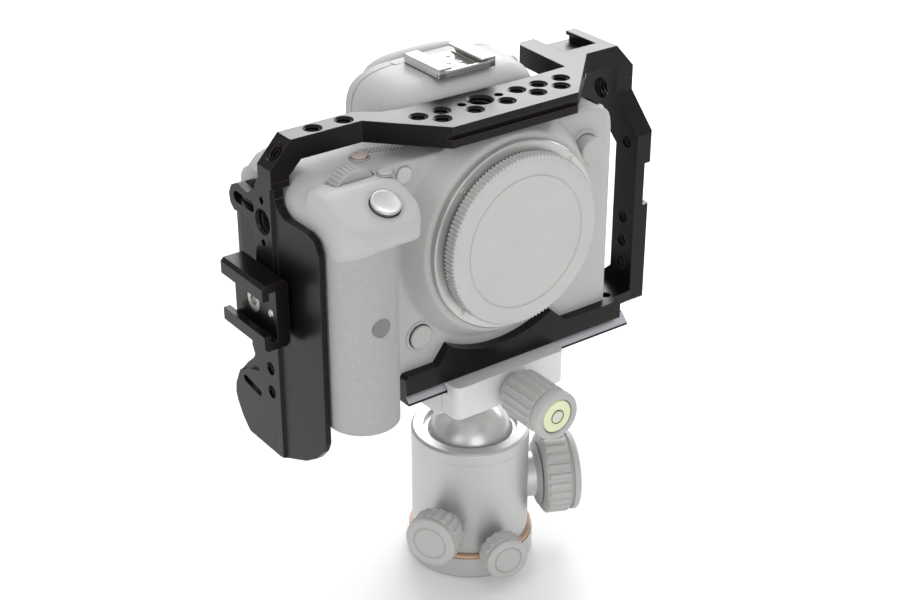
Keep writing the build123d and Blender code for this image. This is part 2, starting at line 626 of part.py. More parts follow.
with BuildPart() as front_shell:
    add(body_outline(CAM_FRONT, CAM_SPLIT))
    # grip head
    with BuildSketch(Plane.YZ.offset(CAM_L + 0.3)):
        with BuildLine():
            Polyline((CAM_FRONT + 1, HEAD_TOP), (-24.0, HEAD_TOP), (HEAD_FRONT + 1.5, 174.4), (HEAD_FRONT, 172.4),
                     (HEAD_FRONT, 168.5), (HEAD_FRONT + 2, GRIP_CUT), (-24, 160.0), (CAM_FRONT + 1, 160.0), close=True)
        make_face()
    extrude(amount=HEAD_RIGHT - CAM_L - 0.3)
    head_edges = front_shell.edges().filter_by(Axis.Z).filter_by_position(Axis.Y, HEAD_FRONT - 1, HEAD_FRONT + 1)
    fillet(head_edges.sort_by(Axis.X)[0], 7.0)
    head_edges = front_shell.edges().filter_by(Axis.Z).filter_by_position(Axis.Y, HEAD_FRONT - 1, HEAD_FRONT + 1)
    fillet(head_edges.sort_by(Axis.X)[-1], 9.0)
    under = front_shell.edges().filter_by(Axis.Y).filter_by_position(Axis.X, HEAD_RIGHT - 0.1, HEAD_RIGHT + 0.1)
    fillet(under.sort_by(Axis.Z)[-1], 4.0)
    # grip core under the skin
    add(grip_plan(-0.02, GRIP_CUT - CAM_Z0), mode=Mode.SUBTRACT)
    add(body_outline(CAM_FRONT, CAM_SPLIT))
    add(grip_plan(SKIN, GRIP_CUT - CAM_Z0))
    # mount boss
    with Locations(forward((CAM_FRONT - 24.0) / 2, z=LENS_Z)):
        Cone(43.0, 37.5, 9.0)
    drill(forward(-24.0, z=LENS_Z), THROAT_R, 5.5)
    drill(forward(-24.0, z=LENS_Z), 24.0, 12.0)
    add(slab(-60.0, 60.0, -30.0, CAM_SPLIT, BAR_TOP - BAR_T - 0.5, 200.0), mode=Mode.SUBTRACT)
    # hollow, battery bay, floor opening
    add(hollow(-52.0, CAM_FRONT + 2.5, CAM_SPLIT), mode=Mode.SUBTRACT)
    add(slab(BAY[0], BAY[1], BAY[2], BAY[3], CAM_Z0, 156.5), mode=Mode.SUBTRACT)
    add(slab(-77.3, -54.7, -29.3, 9.1, CAM_Z0 - 1, 99.6), mode=Mode.SUBTRACT)
    drill(Plane(origin=(DOOR_HINGE[0], 10.9, DOOR_HINGE[1]), z_dir=(0, 1, 0)), 0.95, 42.0)
    add(slab(-52.2, 54.2, -11.7, CAM_SPLIT, CAM_Z0 - 1, CAM_Z0 + 2.5), mode=Mode.SUBTRACT)
    # controls
    with Locations(Plane(origin=DIAL, z_dir=(0, 1, 0))):
        Cylinder(DIAL_R + 0.5, DIAL_W + 0.8, mode=Mode.SUBTRACT)
        Cylinder(1.0 + TURN_GAP, DIAL_W + 4.6, mode=Mode.SUBTRACT)
    drill(SHUTTER, SHUTTER_R + FREE_GAP, 3.4)
    drill(at(*RECORD), RECORD_R + FREE_GAP, 2.4)
    drill(at(*FUNCTION), 2.6 + FREE_GAP, 2.4)
    drill(forward(-26.0, x=RELEASE[0], z=RELEASE[1]), RELEASE_R + FREE_GAP, 15.0)
    drill(forward(-17.0, x=PREVIEW[0], z=PREVIEW[1]), PREVIEW_R + FREE_GAP, 6.0)
    drill(forward(-17.0, x=-40.0, z=177.2), 3.0, 4.0)
    drill(forward(-42.0, x=GRIP_X, z=137.7), WINDOW_R, 4.6)
    # port cover recess and pin holes
    add(slab(56.0, 58.0, -4.4, 10.4, COVER_Z[0] - 0.3, COVER_Z[1] + 0.3), mode=Mode.SUBTRACT)
    drill(at(*COVER_HINGE, COVER_Z[1] + 2.0), 0.5, COVER_Z[1] - COVER_Z[0] + 4.0)
finish("front_shell", front_shell)

with BuildPart() as grip_skin:
    add(grip_plan(0, GRIP_CUT - CAM_Z0))
    add(grip_plan(SKIN, GRIP_CUT - CAM_Z0), mode=Mode.SUBTRACT)
    drill(forward(-42.0, x=GRIP_X, z=137.7), WINDOW_R, 6.0)
finish("grip_skin", grip_skin)

THUMB = (-77.5, -56.0, 24.0, 32.0, 119.0, 176.0)
SCREEN_AXIS = (54.0, 27.3)
HINGE_R = 2.8
LUG_Z = ((106.0, 111.7), (152.3, 158.0))
REAR_DIAL = (-58.0, 108.4)
STICK = (-46.5, 146.0)

with BuildPart() as rear_shell:
    add(body_outline(CAM_SPLIT, CAM_BACK))
    add(slab(THUMB[0], THUMB[1], THUMB[2] - 1, THUMB[3], THUMB[4], THUMB[5]))
    upper_rest = rear_shell.edges().filter_by(Axis.X).filter_by_position(Axis.Y, THUMB[3] - 0.1, THUMB[3] + 0.1)
    fillet(upper_rest.sort_by(Axis.Z)[-1], 7.9)
    fillet(rear_shell.faces().sort_by(Axis.Y)[-1].edges().sort_by(Axis.Z)[0], 3.5)
    add(hollow(-75.0, CAM_SPLIT, CAM_BACK - 2.5), mode=Mode.SUBTRACT)
    add(slab(-81.0, THUMB[0], CAM_SPLIT, CAM_BACK + 1, THUMB[4] - 0.4, THUMB[5] + 0.4), mode=Mode.SUBTRACT)
    add(slab(-52.2, 54.2, CAM_SPLIT, 20.7, CAM_Z0 - 1, CAM_Z0 + 2.5), mode=Mode.SUBTRACT)
    # lugs of the monitor's hinge
    for z0, z1 in LUG_Z:
        add(slab(SCREEN_AXIS[0] - 2.5, SCREEN_AXIS[0] + 2.5, CAM_BACK - 1, SCREEN_AXIS[1], z0, z1))
        disc(at(*SCREEN_AXIS, z0), HINGE_R, z1 - z0)
    drill(at(*SCREEN_AXIS, 158.0), 1.2, 52.0)
    drill(Plane(origin=(REAR_DIAL[0], CAM_BACK, REAR_DIAL[1]), z_dir=(0, 1, 0)), 2.5 + TURN_GAP, 3.0)
    drill(Plane(origin=(STICK[0], CAM_BACK, STICK[1]), z_dir=(0, 1, 0)), 2.2 + FREE_GAP, 3.0)
finish("rear_shell", rear_shell)

with BuildPart() as bottom_cover:
    add(slab(-52.0, 54.0, -11.5, 20.5, CAM_Z0, CAM_Z0 + 2.3))
    disc(at(0, 0, CAM_Z0 + 2.3), 8.0, 5.0)
    drill(at(0, 0, CAM_Z0 + 7.3), 3.15, 8.0)
finish("bottom_cover", bottom_cover)

with BuildPart() as mount_ring:
    with BuildSketch(forward(-24.0, z=LENS_Z)):
        Circle(MOUNT_R)
        Circle(27.0, mode=Mode.SUBTRACT)
    extrude(amount=2.6)
    chamfer(mount_ring.faces().sort_by(Axis.Y)[0].edges(), 0.4)
finish("mount_ring", mount_ring)

with BuildPart() as body_cap:
    disc(forward(-26.9, z=LENS_Z), 32.2, -26.9 - CAP_FRONT_Y)
    chamfer(body_cap.faces().sort_by(Axis.Y)[0].edges(), 0.9)
    drill(forward(CAP_FRONT_Y, z=LENS_Z), 26.2, 0.5)
    disc(forward(-20.0, z=LENS_Z), 26.4, 7.0)
finish("body_cap", body_cap)

with BuildPart() as sensor_unit:
    add(slab(-23.0, 23.0, -12.0, -4.0, LENS_Z - 18.0, LENS_Z + 18.0))
    add(slab(-18.0, 18.0, -12.5, -11.4, LENS_Z - 12.0, LENS_Z + 12.0), mode=Mode.SUBTRACT)
    for x in (-21.0, 21.0):
        disc(Plane(origin=(x, -4.0, LENS_Z), z_dir=(0, 1, 0)), 1.5, 8.4)
finish("sensor_unit", sensor_unit)

with BuildPart() as main_board:
    add(slab(-50.0, 50.0, 4.4, 6.0, 104.5, 176.0))
    for x in (-47.0, 47.0):
        for z in (108.0, 172.0):
            disc(Plane(origin=(x, 6.0, z), z_dir=(0, 1, 0)), 2.0, CAM_BACK - 2.5 - 6.0)
    for x in (-21.0, 21.0):
        drill(Plane(origin=(x, 6.0, LENS_Z), z_dir=(0, 1, 0)), 1.5, 2.0)
finish("main_board", main_board)

with BuildPart() as battery:
    add(slab(-76.6, -56.0, -28.0, 8.0, 100.2, 156.5))
    fillet(battery.edges().filter_by(Axis.Z), 2.0)
finish("battery", battery)

with BuildPart() as battery_door:
    add(slab(-77.0, DOOR_HINGE[0], -29.0, 8.8, CAM_Z0, 99.3))
    disc(Plane(origin=(DOOR_HINGE[0], -29.0, DOOR_HINGE[1]), z_dir=(0, 1, 0)), 1.15, 37.8)
    disc(Plane(origin=(DOOR_HINGE[0], -30.6, DOOR_HINGE[1]), z_dir=(0, 1, 0)), 0.9, 41.0)
    fillet(battery_door.edges().filter_by(Axis.Z).group_by(Axis.X)[0], 2.0)
finish("battery_door", battery_door)

with BuildPart() as card_door:
    with BuildSketch(Plane.XY.offset(THUMB[4])):
        with BuildLine():
            Polyline((-79.9, CAM_SPLIT + 0.3), (-79.9, 28.0), (-79.5, 31.2), (-78.6, 33.0), (-77.8, 33.4),
                     (-77.8, CAM_SPLIT + 0.3), close=True)
        make_face()
    extrude(amount=THUMB[5] - THUMB[4])
    with BuildSketch(Plane.YZ.offset(-81.0)):
        with BuildLine():
            ThreePointArc((CAM_SPLIT + 0.2, THUMB[5] - 1.0), (26.5, THUMB[5] - 6.5), (34.0, THUMB[5] - 21.0))
            Polyline((34.0, THUMB[5] - 21.0), (34.0, THUMB[5] + 1.0), (CAM_SPLIT + 0.2, THUMB[5] + 1.0),
                     (CAM_SPLIT + 0.2, THUMB[5] - 1.0))
        make_face()
    extrude(amount=4.0, mode=Mode.SUBTRACT)
finish("card_door", card_door)

with BuildPart() as port_cover:
    add(slab(56.2, 57.5, COVER_HINGE[1], 10.1, COVER_Z[0], COVER_Z[1]))
    disc(at(*COVER_HINGE, COVER_Z[0]), 0.8, COVER_Z[1] - COVER_Z[0])
    disc(at(*COVER_HINGE, COVER_Z[0] - 1.5), 0.45, COVER_Z[1] - COVER_Z[0] + 3.0)
finish("port_cover", port_cover)

# ---- viewfinder ----------------------------------------------------------------------------------
HUMP_FRONT = -0.6
HUMP_BACK = 30.0
HUMP_TOP = 199.4
DIOPTRE = (30.6, 21.0, 189.5)

with BuildPart() as viewfinder:
    with BuildSketch(Plane.XZ.offset(-HUMP_BACK)):
        with BuildLine():
            Polyline((-36.0, CAM_Z1), (-24.5, HUMP_TOP - 1.5), (-22.0, HUMP_TOP), (22.0, HUMP_TOP),
                     (24.5, HUMP_TOP - 1.5), (36.0, CAM_Z1), close=True)
        make_face()
    extrude(amount=HUMP_BACK - HUMP_FRONT)
    add(slab(-26.0, 26.0, CAM_BACK, HUMP_BACK, 173.0, CAM_Z1))
    chamfer(viewfinder.faces().sort_by(Axis.Y)[0].edges().sort_by(Axis.Z)[-1], 3.0)
    add(slab(-14.0, 14.0, HUMP_BACK - 4, HUMP_BACK + 1, 180.5, 195.5), mode=Mode.SUBTRACT)
    drill(sideways(40.0, DIOPTRE[1], DIOPTRE[2], 1), 4.3, 40.0 - DIOPTRE[0])
    drill(sideways(40.0, DIOPTRE[1], DIOPTRE[2], 1), 1.5 + TURN_GAP, 15.0)
finish("viewfinder", viewfinder)

with BuildPart() as hot_shoe:
    add(slab(-12.5, 12.5, 3.0, 24.0, HUMP_TOP, HUMP_TOP + 3.9))
    add(slab(-9.4, 9.4, 4.0, 26.0, HUMP_TOP + 0.8, HUMP_TOP + 3.0), mode=Mode.SUBTRACT)
    add(slab(-6.4, 6.4, 4.0, 26.0, HUMP_TOP + 0.8, HUMP_TOP + 5.0), mode=Mode.SUBTRACT)
finish("hot_shoe", hot_shoe)

with BuildPart() as eyecup:
    with BuildSketch(Plane.XZ.offset(-HUMP_BACK)):
        with Locations((0, 187.0)):
            RectangleRounded(50.0, 27.0, 10.0)
            RectangleRounded(30.0, 17.0, 6.0, mode=Mode.SUBTRACT)
    extrude(amount=-6.5)
    fillet(eyecup.faces().sort_by(Axis.Y)[-1].edges(), 1.6)
finish("eyecup", eyecup)

with BuildPart() as eyepiece_glass:
    add(slab(-14.0, 14.0, HUMP_BACK - 3.0, HUMP_BACK - 1.0, 180.5, 195.5))
finish("eyepiece_glass", eyepiece_glass)

with BuildPart() as dioptre_knob:
    disc(sideways(DIOPTRE[0] + 0.4, DIOPTRE[1], DIOPTRE[2], 1), 4.0, 3.6)
    disc(sideways(DIOPTRE[0] - 4.6, DIOPTRE[1], DIOPTRE[2], 1), 1.5, 6.0)
finish("dioptre_knob", dioptre_knob)

# ---- monitor -------------------------------------------------------------------------------------
SCREEN_X0 = -36.0
SCREEN_X1 = 49.0
SCREEN_Z0 = 104.0
SCREEN_Z1 = 160.0
SCREEN_Y0 = 24.4
SCREEN_Y1 = 30.2

with BuildPart() as monitor:
    add(slab(SCREEN_X0, SCREEN_X1, SCREEN_Y0, SCREEN_Y1, SCREEN_Z0, SCREEN_Z1))
    fillet(monitor.edges().filter_by(Axis.Y), 3.0)
    add(slab(SCREEN_X1 - 1, SCREEN_AXIS[0], 26.2, SCREEN_Y1 - 0.1, 112.0, 152.0))
    disc(at(*SCREEN_AXIS, 112.0), HINGE_R, 40.0)
    drill(at(*SCREEN_AXIS, 152.0), 1.2 + TURN_GAP, 40.0)
    add(slab(-34.0, 47.0, SCREEN_Y1 - 0.8, SCREEN_Y1 + 1, 106.5, 157.5), mode=Mode.SUBTRACT)
finish("monitor", monitor)

with BuildPart() as screen_glass:
    add(slab(-34.0, 47.0, SCREEN_Y1 - 0.8, SCREEN_Y1 - 0.1, 106.5, 157.5))
finish("screen_glass", screen_glass)

with BuildPart() as screen_pin:
    disc(at(*SCREEN_AXIS, 106.0), 1.2, 52.0)
finish("screen_pin", screen_pin)

# ---- controls ------------------------------------------------------------------------------------
with BuildPart() as shutter_button:
    disc(SHUTTER.offset(-2.0), SHUTTER_R, 3.6)
    fillet(shutter_button.faces().sort_by(Axis.Z)[-1].edges(), 0.6)
finish("shutter_button", shutter_button)

with BuildPart() as front_dial:
    with Locations(Plane(origin=DIAL, z_dir=(0, 1, 0))):
        Cylinder(DIAL_R, DIAL_W)
        Cylinder(1.0, DIAL_W + 4.0)
finish("front_dial", front_dial)

with BuildPart() as record_button:
    disc(at(RECORD[0], RECORD[1], RECORD[2] - 1.2), RECORD_R, 2.4)
finish("record_button", record_button)

with BuildPart() as function_button:
    disc(at(FUNCTION[0], FUNCTION[1], FUNCTION[2] - 1.2), 2.6, 2.2)
finish("function_button", function_button)

with BuildPart() as release_button:
    disc(forward(-14.4, x=RELEASE[0], z=RELEASE[1]), RELEASE_R, 6.4)
    fillet(release_button.faces().sort_by(Axis.Y)[0].edges(), 0.8)
finish("release_button", release_button)

with BuildPart() as preview_button:
    disc(forward(-14.0, x=PREVIEW[0], z=PREVIEW[1]), PREVIEW_R, 2.6)
finish("preview_button", preview_button)

with BuildPart() as lamp_window:
    disc(forward(-13.4, x=-40.0, z=177.2), 3.0, 2.0)
finish("lamp_window", lamp_window)

with BuildPart() as ir_window:
    disc(forward(-37.4, x=GRIP_X, z=137.7), WINDOW_R, 2.0)
finish("ir_window", ir_window)

with BuildPart() as rear_dial:
    disc(Plane(origin=(REAR_DIAL[0], CAM_BACK + 0.4, REAR_DIAL[1]), z_dir=(0, 1, 0)), 8.3, 2.4)
    disc(Plane(origin=(REAR_DIAL[0], CAM_BACK - 2.0, REAR_DIAL[1]), z_dir=(0, 1, 0)), 2.5, 3.0)
finish("rear_dial", rear_dial)

with BuildPart() as thumb_stick:
    disc(Plane(origin=(STICK[0], CAM_BACK - 1.2, STICK[1]), z_dir=(0, 1, 0)), 2.2, 4.0)
    disc(Plane(origin=(STICK[0], CAM_BACK + 1.6, STICK[1]), z_dir=(0, 1, 0)), 3.6, 1.6)
finish("thumb_stick", thumb_stick)
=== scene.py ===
import json
import math

import bmesh
import bpy
from mathutils import Matrix, Vector


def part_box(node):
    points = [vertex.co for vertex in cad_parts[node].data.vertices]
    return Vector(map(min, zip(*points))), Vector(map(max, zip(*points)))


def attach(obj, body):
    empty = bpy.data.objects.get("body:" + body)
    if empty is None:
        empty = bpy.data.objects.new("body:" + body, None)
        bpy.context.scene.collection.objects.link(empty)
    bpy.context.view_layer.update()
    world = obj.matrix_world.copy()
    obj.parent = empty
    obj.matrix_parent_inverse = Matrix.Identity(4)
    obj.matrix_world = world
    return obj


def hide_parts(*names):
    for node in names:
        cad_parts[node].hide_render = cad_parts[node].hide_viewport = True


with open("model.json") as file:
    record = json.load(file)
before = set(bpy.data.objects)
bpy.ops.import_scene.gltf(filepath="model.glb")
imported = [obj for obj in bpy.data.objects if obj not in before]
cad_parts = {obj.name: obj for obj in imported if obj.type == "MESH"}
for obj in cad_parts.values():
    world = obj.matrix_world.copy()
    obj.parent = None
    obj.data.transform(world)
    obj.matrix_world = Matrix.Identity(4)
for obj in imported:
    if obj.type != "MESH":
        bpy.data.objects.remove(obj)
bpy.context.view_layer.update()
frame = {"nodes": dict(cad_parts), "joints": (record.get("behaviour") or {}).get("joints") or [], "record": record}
nodes = frame["nodes"]
record = frame["record"]
mounts = {m["name"]: m for m in record["mounts"]}
joints = {j["name"]: j for j in frame["joints"]}
MM = 0.001
UP = (0, 0, 1)
FORWARD = (0, -1, 0)
CAMERA_FRONT = -15.0     # front face of the camera's body, in millimetres
CAMERA_BACK = 24.0       # its back face


# ---- shader maths -------------------------------------------------------------------------------

class Sock:
    """A shader socket that can be used in sums."""

    def __init__(self, maker, socket):
        self.maker = maker
        self.socket = socket

    def maths(self, operation, a, b=0.0):
        return self.maker.node("ShaderNodeMath", {"operation": operation}, {0: a, 1: b})

    def __add__(self, other):
        return self.maths("ADD", self, other)

    __radd__ = __add__

    def __sub__(self, other):
        return self.maths("SUBTRACT", self, other)

    def __rsub__(self, other):
        return self.maths("SUBTRACT", other, self)

    def __mul__(self, other):
        return self.maths("MULTIPLY", self, other)

    __rmul__ = __mul__

    def __truediv__(self, other):
        return self.maths("DIVIDE", self, other)

    def __pow__(self, other):
        return self.maths("POWER", self, other)

    def above(self, level):
        return self.maths("GREATER_THAN", self, level)

    def clipped(self):
        return self.maker.node("ShaderNodeClamp", {}, {0: self})


class Finish:
    """One material, built up from a Principled shader."""

    def __init__(self, name, **fixed):
        self.material = bpy.data.materials.new(name)
        self.material.use_nodes = True
        self.tree = self.material.node_tree
        self.shader = self.tree.nodes["Principled BSDF"]
        for key, value in fixed.items():
            self.shader.inputs[key.replace("_", " ")].default_value = value

    def node(self, kind, settings=None, sockets=None, out=0):
        """Add a node: its settings first, then the values or links of its sockets."""
        made = self.tree.nodes.new(kind)
        for key, value in (settings or {}).items():
            if key == "stops":
                ramp = made.color_ramp
                while len(ramp.elements) < len(value):
                    ramp.elements.new(0.5)
                for element, (place, colour) in zip(ramp.elements, value):
                    element.position = place
                    element.color = (*colour, 1)
            else:
                setattr(made, key, value)
        for key, value in (sockets or {}).items():
            self.feed(made.inputs[key], value)
        return Sock(self, made.outputs[out])

    def feed(self, target, value):
        if isinstance(value, Sock):
            self.tree.links.new(value.socket, target)
        else:
            target.default_value = value

    def set(self, name, value):
        self.feed(self.shader.inputs[name], value)

    def place(self):
        return self.node("ShaderNodeTexCoord", out="Object")

    def stretched(self, scale, centre=(0, 0, 0), turn=(0, 0, 0)):
        """Object coordinates about a centre, turned and scaled."""
        shifted = self.node("ShaderNodeMapping", {"vector_type": "POINT"},
                            {0: self.place(), 1: tuple(-c for c in centre)})
        return self.node("ShaderNodeMapping", {"vector_type": "POINT"}, {0: shifted, 2: turn, 3: scale})

    def noise(self, scale, detail=4.0, vector=None):
        return self.node("ShaderNodeTexNoise", {},
                         {"Vector": vector or self.place(), "Scale": scale, "Detail": detail})

    def cells(self, scale, feature="F1", vector=None):
        return self.node("ShaderNodeTexVoronoi", {"feature": feature},
                         {"Vector": vector or self.place(), "Scale": scale})

    def blend(self, factor, low, high):
        """Mix of two colours."""
        return self.node("ShaderNodeMix", {"data_type": "RGBA"},
                         {0: factor, 6: self.colour(low), 7: self.colour(high)}, out=2)

    def colour(self, value):
        return value if isinstance(value, Sock) else (*value, 1)

    def rounded(self, radius):
        """Normal that rounds off the edges by a radius."""
        return self.node("ShaderNodeBevel", {"samples": 4}, {"Radius": radius})

    def edges(self, radius, gain):
        """Mask that is high along edges."""
        flat = self.node("ShaderNodeNewGeometry", out="Normal")
        close = self.node("ShaderNodeVectorMath", {"operation": "DOT_PRODUCT"},
                          {0: self.rounded(radius), 1: flat}, out="Value")
        return ((1 - close) * gain).clipped()

    def relief(self, height, depth, normal=None):
        """Bump of a height map, its depth in metres."""
        sockets = {"Height": height, "Distance": depth, "Strength": 1.0}
        if normal:
            sockets["Normal"] = normal
        self.set("Normal", self.node("ShaderNodeBump", {}, sockets))


def lighter(tone, gain, lift=0.0):
    """Colour for worn edges, brighter than a tone."""
    return tuple(min(1.0, c * gain + lift) for c in tone)


def machined_black(name, lines=None, low=(0.0034, 0.0029, 0.0027), high=(0.0068, 0.0056, 0.0050)):
    """Black anodised aluminium with an optional direction of tool lines; its broken edges are painted lighter,
    partly the bare metal of polished chamfers and partly a painted edge highlight.
    """
    f = Finish(name, Metallic=0.0, Specular_IOR_Level=0.2, Specular_Tint=(1.0, 0.94, 0.89, 1.0))
    broad = f.noise(45.0, 3.0)
    fine = f.noise(2600.0, 2.0)
    rims = f.edges(0.0004, 3.0)
    tone = f.blend(broad, low, high)
    # edges blended toward a warm grey: bare chamfer metal plus a painted edge highlight
    f.set("Base Color", f.blend(rims * 0.6, tone, (0.120, 0.108, 0.100)))
    f.set("Roughness", (0.22 + broad * 0.10 + fine * 0.06 - rims * 0.06).clipped())
    height = fine * 0.35
    if lines:
        height = height + f.noise(1.0, 1.0, f.stretched(lines)) * 1.0
    f.relief(height, 0.00003, f.rounded(0.00035))
    return f.material


def turned_metal(name, low, high, centre, turn, roughness=0.32, metallic=0.75, depth=0.00003):
    """Turned metal with fine rings about an axis."""
    f = Finish(name, Metallic=metallic)
    where = f.stretched((1.0, 1.0, 1.0), centre, turn)
    flat = f.node("ShaderNodeVectorMath", {"operation": "MULTIPLY"}, {0: where, 1: (1.0, 1.0, 0.0)})
    radius = f.node("ShaderNodeVectorMath", {"operation": "LENGTH"}, {0: flat}, out="Value")
    rings = f.node("ShaderNodeTexNoise", {"noise_dimensions": "1D"},
                   {"W": radius, "Scale": 5200.0, "Detail": 2.0})
    cloud = f.noise(60.0, 3.0)
    rims = f.edges(0.0004, 3.0)
    tone = f.blend(cloud, low, high)
    f.set("Base Color", f.blend(rims * 0.5, tone, lighter(high, 1.25)))
    f.set("Roughness", (roughness + rings * 0.12 + cloud * 0.06).clipped())
    f.relief(rings, depth, f.rounded(0.0004))
    return f.material


def dovetail_black(name, flank):
    """Black anodised bar whose upward slanted flanks, picked by the way their faces point, are painted pale: bare
    metal with a painted highlight from the light above.
    """
    f = Finish(name, Specular_IOR_Level=0.2)
    # faces that point upward at a slant get the pale flank colour: bare metal plus a painted highlight from above
    facing = f.node("ShaderNodeTexCoord", out="Normal")
    parts = f.node("ShaderNodeSeparateXYZ", {}, {0: facing}, out="Z")
    bare_lit_flanks = parts.above(0.5) * (1 - parts.above(0.9))
    fine = f.noise(2600.0, 2.0)
    lines = f.noise(1.0, 1.0, f.stretched((12.0, 2600.0, 2600.0)))
    rims = f.edges(0.0004, 3.0)
    # edges blended toward a warm grey: bare chamfer metal plus a painted edge highlight
    black = f.blend(rims * 0.6, (0.006, 0.0055, 0.0055), (0.10, 0.092, 0.088))
    f.set("Base Color", f.blend(bare_lit_flanks, black, f.blend(lines, flank, tuple(c * 1.15 for c in flank))))
    f.set("Metallic", bare_lit_flanks * 0.6)
    f.set("Roughness", (0.28 + fine * 0.08 + bare_lit_flanks * 0.10).clipped())
    f.relief(fine * 0.4 + lines * 0.6, 0.00002, f.rounded(0.0003))
    return f.material


def soft_anodised(name, low, high, roughness=0.42, metallic=0.25, grain=0.00004):
    """Bead-blasted anodised metal: fine even grain and faint rubbed edges."""
    f = Finish(name, Metallic=metallic)
    cloud = f.noise(38.0, 4.0)
    beads = f.noise(2300.0, 3.0)
    rims = f.edges(0.0006, 2.5)
    f.set("Base Color", f.blend(rims * 0.4, f.blend(cloud, low, high), lighter(high, 1.2)))
    f.set("Roughness", (roughness + beads * 0.14 + cloud * 0.08 - rims * 0.08).clipped())
    f.relief(beads, grain, f.rounded(0.0005))
    return f.material


def fine_paint(name, low, high, roughness=0.5, grain=0.00006, edge=0.0008):
    """Fine textured paint on the camera's metal shells."""
    f = Finish(name, Coat_Weight=0.05)
    cloud = f.noise(26.0, 3.0)
    grains = f.cells(1500.0)
    rims = f.edges(0.0008, 2.0)
    tone = f.blend(cloud * 0.7 + grains * 0.3, low, high)
    f.set("Base Color", f.blend(rims * 0.35, tone, lighter(high, 1.15)))
    f.set("Roughness", (roughness + grains * 0.12 + cloud * 0.06).clipped())
    f.relief(grains, grain, f.rounded(edge))
    return f.material


def pebbled_rubber(name, low, high, scale=620.0, depth=0.00022, roughness=0.62):
    """Grip rubber with a leather-like pebble; its colour follows the pebble height, so the creases between pebbles
    are darker with painted shade.
    """
    f = Finish(name, Specular_IOR_Level=0.35)
    drift = f.node("ShaderNodeTexNoise", {}, {"Vector": f.place(), "Scale": 300.0}, out="Color")
    shift = f.node("ShaderNodeVectorMath", {"operation": "SCALE"}, {0: drift, 3: 0.0012})
    warped = f.node("ShaderNodeVectorMath", {"operation": "ADD"}, {0: f.place(), 1: shift})
    pebble = f.cells(scale, "SMOOTH_F1", warped)
    fine = f.noise(2800.0, 2.0)
    rise = (1 - pebble) ** 1.6
    # colour follows the pebble height: painted shade darkens the creases between pebbles
    f.set("Base Color", f.blend((rise * 0.8 + fine * 0.2).clipped(), low, high))
    f.set("Roughness", (roughness + fine * 0.16 - rise * 0.10).clipped())
    f.relief(rise + fine * 0.12, depth, f.rounded(0.0006))
    return f.material


def moulded(name, low, high, roughness=0.45, grain=0.00003):
    """Moulded plastic or rubber with a light spark-eroded grain."""
    f = Finish(name)
    cloud = f.noise(70.0, 3.0)
    grains = f.noise(3000.0, 2.0)
    rims = f.edges(0.0004, 2.5)
    f.set("Base Color", f.blend(rims * 0.4, f.blend(cloud, low, high), lighter(high, 1.3, 0.01)))
    f.set("Roughness", (roughness + grains * 0.12 + cloud * 0.08).clipped())
    f.relief(grains, grain, f.rounded(0.0003))
    return f.material


def bare_steel(name, tone, roughness=0.26):
    """Bare steel with fine scratches and a little staining."""
    f = Finish(name, Metallic=1.0)
    cloud = f.noise(120.0, 4.0)
    scratch = f.noise(900.0, 2.0, f.stretched((1.0, 14.0, 1.0)))
    f.set("Base Color", f.blend(cloud, tuple(c * 0.82 for c in tone), tone))
    f.set("Roughness", (roughness + scratch * 0.14 + cloud * 0.06).clipped())
    f.relief(scratch, 0.00002, f.rounded(0.0002))
    return f.material


def clear_glass(name, tone, roughness=0.06):
    """Dark coated glass with faint smears."""
    f = Finish(name, Coat_Weight=1.0, Coat_Roughness=0.03, IOR=1.5)
    smear = f.noise(90.0, 5.0)
    f.set("Base Color", f.blend(smear, tuple(c * 0.7 for c in tone), tone))
    f.set("Roughness", (roughness + smear * 0.10).clipped())
    f.relief(smear, 0.00001, f.rounded(0.0003))
    return f.material


